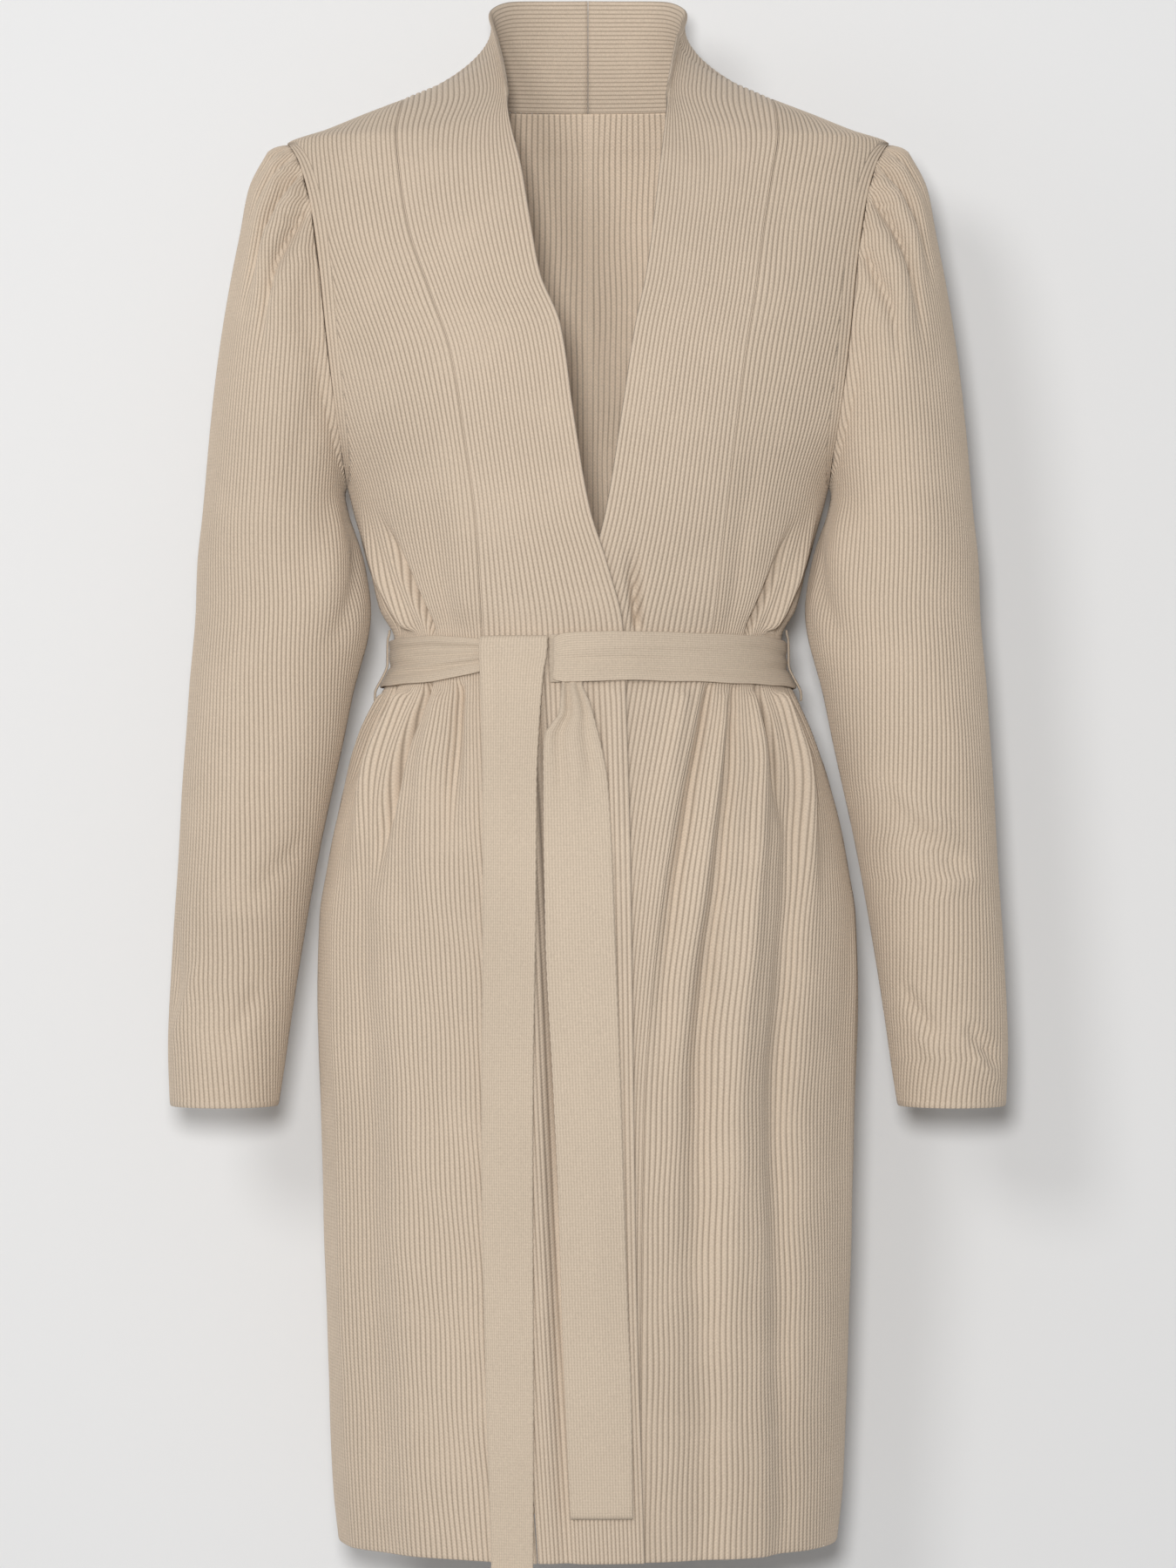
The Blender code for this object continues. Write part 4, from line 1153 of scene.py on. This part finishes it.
def sleeve_shell(word, side, tucks, creases):
    surface = sleeve_surface(side, tucks, creases)
    rows = sleeve_rows(surface[-1, :, 2].max())
    points = join_sides(half_sleeve(-1, surface, rows), half_sleeve(1, surface, rows))
    gone, to_end, count, depth = np.moveaxis(points[..., 6:], -1, 0)
    smoothed = 0.75 * (1 - step_up(to_end, 0.0028, 0.0042))
    sink = SEAM_SINK * nearness(gone, 0.003) + RIB_DEPTH * depth * smoothed
    round_off = EDGE_ROUND * nearness(to_end, CUFF_REACH) ** 2
    open_rows = int(np.sum(rows >= UNDERARM_Z - NEAR))
    return knit_shell("cloth_sleeve_" + word, points[..., :3], unit(points[..., 3:6]), depth, sink,
                      round_off, count, rows[:, None], INSIDE_COUNT, open_rows)


def crease_height(at, share, creases):
    total = np.zeros(np.broadcast(at, share).shape)
    for crease in creases:
        reach = (at - crease["at_1"]) / (crease["at_2"] - crease["at_1"])
        middle = crease["share_1"] + (crease["share_2"] - crease["share_1"]) * np.clip(reach, 0, 1)
        aside = (share - middle) / crease["half_width"]
        total = total + crease["out"] * within(reach, *BELT_CREASE_FADES) * np.exp(-aside ** 2)
    return total


def strip_shares():
    # Places across a strip of belt, closer at its rounded edges.
    return np.concatenate([[0.0, 0.008, 0.025], np.linspace(0.055, 0.945, 20), [0.975, 0.992, 1.0]])


def edge_round(share, width):
    return BELT_EDGE * nearness(np.minimum(share, 1 - share) * width, 0.0011) ** 1.6


def strip_shell(name, outer, thickness, share, gone, rounding):
    normal = grid_normals(outer)
    middle = (outer.shape[0] // 2, outer.shape[1] // 2)
    facing = outer[middle] * np.array([1.0, 1.0, 0.0])
    normal = normal * np.sign(np.dot(normal[middle], facing))
    out_face = outer - normal * rounding[..., None]
    in_face = outer - normal * (thickness - rounding * 0.6)[..., None]
    own_map = np.stack(np.broadcast_arrays(share * BELT_WIDTH, gone[:, None]), axis=-1)
    return Shell(name, out_face, in_face, own_map, own_map, None)


def belt_waist_shell():
    angles = np.concatenate([*even_rows((-369.5, -330, -80), (46, 150)), np.linspace(-80, -26, 66)])
    share = strip_shares()
    top, bottom, off = (column(BELT, name, angles)[:, None] for name in ("top_z", "bottom_z", "off"))
    angles = angles[:, None]
    end = np.clip((BELT_END_ANGLE - angles) / BELT_END_SPAN, 0, 1)
    width = (top - bottom) * (1 - 0.16 * end ** 2)
    wavy = BELT_WAVE * np.sin(np.radians(angles) * 19.0)
    z = (top + bottom) / 2 + (width + wavy) * (share - 0.5)
    raised = crease_height(angles, share, BELT_CREASES)
    face = smooth_body_point(np.radians(angles), z, off + BELT_WALL + raised)
    rounding = edge_round(share, width) + 0.0012 * end ** 3
    gone = np.radians(angles[:, 0]) * 0.12
    return strip_shell("cloth_belt_waist", face, BELT_WALL, share, gone, rounding)


def hanging_shell(name, rows, creases, step, sway):
    rows = values_of(rows)
    gone = gone_along(rows[:, [0, 3]])
    wanted = np.linspace(0, gone[-1], int(gone[-1] / step))
    z, low, high, off = run_through(gone, rows, wanted).T[:, :, None]
    share = strip_shares()
    gone = wanted[:, None]
    tooth = BELT_TOOTH * np.sin(gone * 2 * math.pi / TOOTH_STEP)
    low = low + tooth + sway * np.sin(gone * 15.0)
    high = high - tooth + sway * np.sin(gone * 15.0 + 0.5)
    x = between(low, high, share)
    raised = crease_height(z, share, creases) + sway * 0.6 * np.sin(gone * 23.0 + share * 2.0)
    outer = smooth_body_point(angle_of(x, z), z, off + raised)
    end = BELT_EDGE * nearness(gone[-1] - gone, 0.0014) ** 1.6
    return strip_shell(name, outer, BELT_WALL, share, wanted, edge_round(share, high - low) + end)


def carrier_shell(name, side):
    rows = values_of(CARRIER)
    gone = gone_along(rows)
    wanted = np.linspace(0, gone[-1], 44)
    z, off = run_through(gone, rows, wanted).T[:, :, None]
    across = np.linspace(-0.5, 0.5, 9)
    turn = across * CARRIER_WIDTH / body("front", z)
    crown = CARRIER_CROWN * (1 - (2 * across) ** 2)
    outer = smooth_body_point(side * (math.pi / 2 + turn), z, off + crown)
    return strip_shell(name, outer, CARRIER_WALL, across + 0.5, wanted, np.zeros(outer.shape[:2]))


class Nodes:
    # Short ways to add and join shader nodes.
    def __init__(self, name):
        self.material = bpy.data.materials.new(name)
        self.material.use_nodes = True
        self.tree = self.material.node_tree
        self.shader = self.tree.nodes["Principled BSDF"]
        self.place = self.add("ShaderNodeTexCoord").outputs["Object"]

    def add(self, kind, **settings):
        node = self.tree.nodes.new(kind)
        for name, value in settings.items():
            setattr(node, name, value)
        return node

    def join(self, source, socket):
        if hasattr(source, "node"):
            self.tree.links.new(source, socket)
        elif isinstance(source, tuple):
            socket.default_value = (*source, 1.0)
        else:
            socket.default_value = source

    def fill(self, node, **sources):
        # Joins or sets the inputs that have these names.
        for name, source in sources.items():
            self.join(source, node.inputs[name.replace("_", " ")])
        return node

    def math(self, operation, one, two=0.0, three=0.0, clamp=False):
        node = self.add("ShaderNodeMath", operation=operation, use_clamp=clamp)
        for value, socket in zip((one, two, three), node.inputs):
            self.join(value, socket)
        return node.outputs[0]

    def wave(self, turns):
        # A wave between 0 and 1, once for each turn.
        sine = self.math("SINE", self.math("MULTIPLY", turns, 2 * math.pi))
        return self.math("MULTIPLY_ADD", sine, 0.5, 0.5)

    def smooth(self, value, low, high):
        node = self.add("ShaderNodeMapRange", interpolation_type="SMOOTHSTEP")
        return self.fill(node, Value=value, From_Min=low, From_Max=high).outputs["Result"]

    def mix(self, share, one, two):
        node = self.add("ShaderNodeMix", data_type="RGBA")
        return self.fill(node, Factor=share, A=one, B=two).outputs["Result"]

    def scaled(self, colour, by):
        node = self.add("ShaderNodeVectorMath", operation="SCALE")
        self.join(colour, node.inputs[0])
        return self.fill(node, Scale=by).outputs["Vector"]

    def noise(self, scale, detail):
        node = self.add("ShaderNodeTexNoise")
        return self.fill(node, Vector=self.place, Scale=scale, Detail=detail).outputs["Fac"]

    def knit_map(self):
        # The knit's own map: ribs counted across, and metres along.
        split = self.add("ShaderNodeSeparateXYZ")
        self.fill(split, Vector=self.add("ShaderNodeUVMap", uv_map="knit").outputs["UV"])
        return split.outputs["X"], split.outputs["Y"]

    def finish(self, colour, height):
        # Cloth: uneven dye, specks of fibre, a fine relief and soft sheen.
        uneven = self.math("MULTIPLY_ADD", self.noise(9.0, 3.0), 0.16, 0.92)
        specked = self.math("MULTIPLY_ADD", self.noise(900.0, 2.0), 0.34, 0.83)
        colour = self.scaled(colour, self.math("MULTIPLY", uneven, specked))
        relief = self.fill(self.add("ShaderNodeBump"), Strength=0.5, Distance=0.0003, Height=height)
        self.fill(self.shader, Base_Color=colour, Normal=relief.outputs["Normal"], Roughness=0.92,
                  Specular_IOR_Level=0.18, Sheen_Weight=0.22, Sheen_Roughness=0.55,
                  Sheen_Tint=(1.0, 0.93, 0.84))
        return self.material


def rib_material(name, colours, groove_width):
    # Rib knit: each rib a column of slanted stitches, with painted shade darkening the grooves
    # between ribs and along the stitches, and painted light making inner faces lighter.
    nodes = Nodes(name)
    across, along = nodes.knit_map()
    light, painted_groove_shade = colours
    from_middle = nodes.math("ABSOLUTE", nodes.math("SUBTRACT", nodes.math("FRACT", across), 0.5))
    # on_rib is 1 on a rib and 0 in a groove, where the colour turns to the darker painted groove
    # shade; a faint noise thins that painted shade in places.
    on_rib = nodes.smooth(nodes.math("SUBTRACT", 0.5, from_middle), 0.02, groove_width)
    faint = nodes.smooth(nodes.noise(26.0, 3.0), 0.46, 0.70)
    on_rib = nodes.math("MULTIPLY_ADD", faint, 0.16, on_rib, clamp=True)
    slant = nodes.math("MULTIPLY", from_middle, 1.6)
    stitch = nodes.wave(nodes.math("ADD", nodes.math("DIVIDE", along, STITCH_STEP), slant))
    # Inner faces of the body and sleeves are found by their high rib counts, for the painted light
    # below.
    inside = nodes.math("GREATER_THAN", across, INSIDE_COUNT / 2)
    # Painted shade along the stitches: the colour darkens a little where each stitch dips.
    shade = nodes.math("MULTIPLY_ADD", stitch, 0.07, 0.965)
    # Painted light: inner faces are made lighter, standing in for light that reaches the inside.
    shade = nodes.math("MULTIPLY", shade, nodes.math("MULTIPLY_ADD", inside, INSIDE_PAINTED_LIGHT, 1.0))
    height = nodes.math("ADD", nodes.math("MULTIPLY", stitch, 0.7), nodes.noise(1500.0, 3.0))
    return nodes.finish(nodes.scaled(nodes.mix(on_rib, painted_groove_shade, light), shade), height)


def belt_material(name, colours):
    # Fine knit: thin lines along the belt, with painted shade a little darker between the lines and
    # between the courses.
    nodes = Nodes(name)
    across, along = nodes.knit_map()
    light, painted_groove_shade = colours
    lines = nodes.wave(nodes.math("DIVIDE", across, BELT_LINE_STEP))
    courses = nodes.wave(nodes.math("DIVIDE", along, BELT_COURSE_STEP))
    # share is 1 on a line and falls towards 0 between lines and courses, where painted shade darkens
    # the colour.
    share = nodes.math("MULTIPLY_ADD", courses, 0.25, nodes.math("MULTIPLY", lines, 0.75))
    height = nodes.math("MULTIPLY_ADD", nodes.noise(1500.0, 3.0), 0.8, lines)
    height = nodes.math("MULTIPLY_ADD", courses, 0.4, height)
    return nodes.finish(nodes.mix(share, painted_groove_shade, light), height)


def wall_material():
    # Pale paint, seen from the front alone.
    nodes = Nodes("wall_paint")
    nodes.fill(nodes.shader, Base_Color=BACKDROP_COLOUR, Roughness=0.95, Specular_IOR_Level=0.0)
    mixed = nodes.add("ShaderNodeMixShader")
    clear = nodes.add("ShaderNodeBsdfTransparent").outputs["BSDF"]
    behind = nodes.add("ShaderNodeNewGeometry").outputs["Backfacing"]
    for source, socket in zip((behind, nodes.shader.outputs["BSDF"], clear), mixed.inputs):
        nodes.join(source, socket)
    nodes.fill(nodes.tree.nodes["Material Output"], Surface=mixed.outputs["Shader"])
    return nodes.material


def add_backdrop():
    # A plain pale wall behind the garment.
    half = BACKDROP_HALF
    mesh = bpy.data.meshes.new("backdrop")
    edges = ((-half, -half), (half, -half), (half, half), (-half, half))
    corners = [(x, BACKDROP_Y, z) for x, z in edges]
    mesh.from_pydata(corners, [], [(0, 1, 2, 3)])
    mesh.materials.append(wall_material())
    in_scene("backdrop", mesh)


def add_lights():
    for name, place, aim, size, power in LIGHTS:
        data = bpy.data.lights.new(name, "AREA")
        data.shape = "DISK"
        data.size = size
        data.energy = power
        lamp = in_scene(name, data)
        lamp.location = place
        lamp.rotation_euler = (Vector(aim) - Vector(place)).to_track_quat("-Z", "Y").to_euler()
    world = bpy.data.worlds.new("soft_studio")
    world.use_nodes = True
    sky = world.node_tree.nodes["Background"]
    sky.inputs["Color"].default_value = (1.0, 1.0, 1.0, 1.0)
    sky.inputs["Strength"].default_value = WORLD_STRENGTH
    bpy.context.scene.world = world


def add_camera():
    data = bpy.data.cameras.new("camera")
    data.lens = CAMERA_LENS
    camera = in_scene("camera", data)
    camera.location = CAMERA_PLACE
    camera.rotation_euler = (math.pi / 2, 0.0, 0.0)
    bpy.context.scene.camera = camera
    bpy.context.scene.view_settings.view_transform = "Standard"


def place_piece(shell, material):
    piece = shell_piece(shell, material)
    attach(piece, "root")
    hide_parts(shell.name.removeprefix("cloth_"))
    return piece


def dress(shell, material):
    piece = place_piece(shell, material)


def make_garment():
    rib = rib_material("rib_knit_cloth", RIB_COLOUR_AND_GROOVE_SHADE, 0.26)
    band = rib_material("band_knit_cloth", BAND_COLOUR_AND_GROOVE_SHADE, 0.27)
    belt = belt_material("belt_knit_cloth", BELT_COLOUR_AND_GROOVE_SHADE)
    gathers = {"right": (TUCKS_RIGHT, CREASES_RIGHT), "left": (TUCKS_LEFT, CREASES_LEFT)}
    hanging = (("belt_tail_front", TAIL_FRONT, TAIL_FRONT_CREASES, 0.0022, 0.0005),
               ("belt_tail_under", TAIL_UNDER, TAIL_UNDER_CREASES, 0.0022, 0.0004),
               ("belt_knot", KNOT, KNOT_CREASES, 0.0010, 0.0))
    dress(back_shell(), rib)
    for word, side in SIDES:
        dress(front_shell(word, side), rib)
    for word, side in SIDES:
        dress(band_shell(word, side), band)
    for word, side in SIDES:
        shell = sleeve_shell(word, side, *gathers[word])
        dress(shell, rib)
    dress(belt_waist_shell(), belt)
    for node, rows, creases, step, sway in hanging:
        shell = hanging_shell("cloth_" + node, rows, creases, step, sway)
        dress(shell, belt)
    for word, side in SIDES:
        place_piece(carrier_shell("cloth_belt_loop_" + word, side), belt)


FOLD_PATHS = find_fold_paths()
make_garment()
add_backdrop()
add_lights()
add_camera()
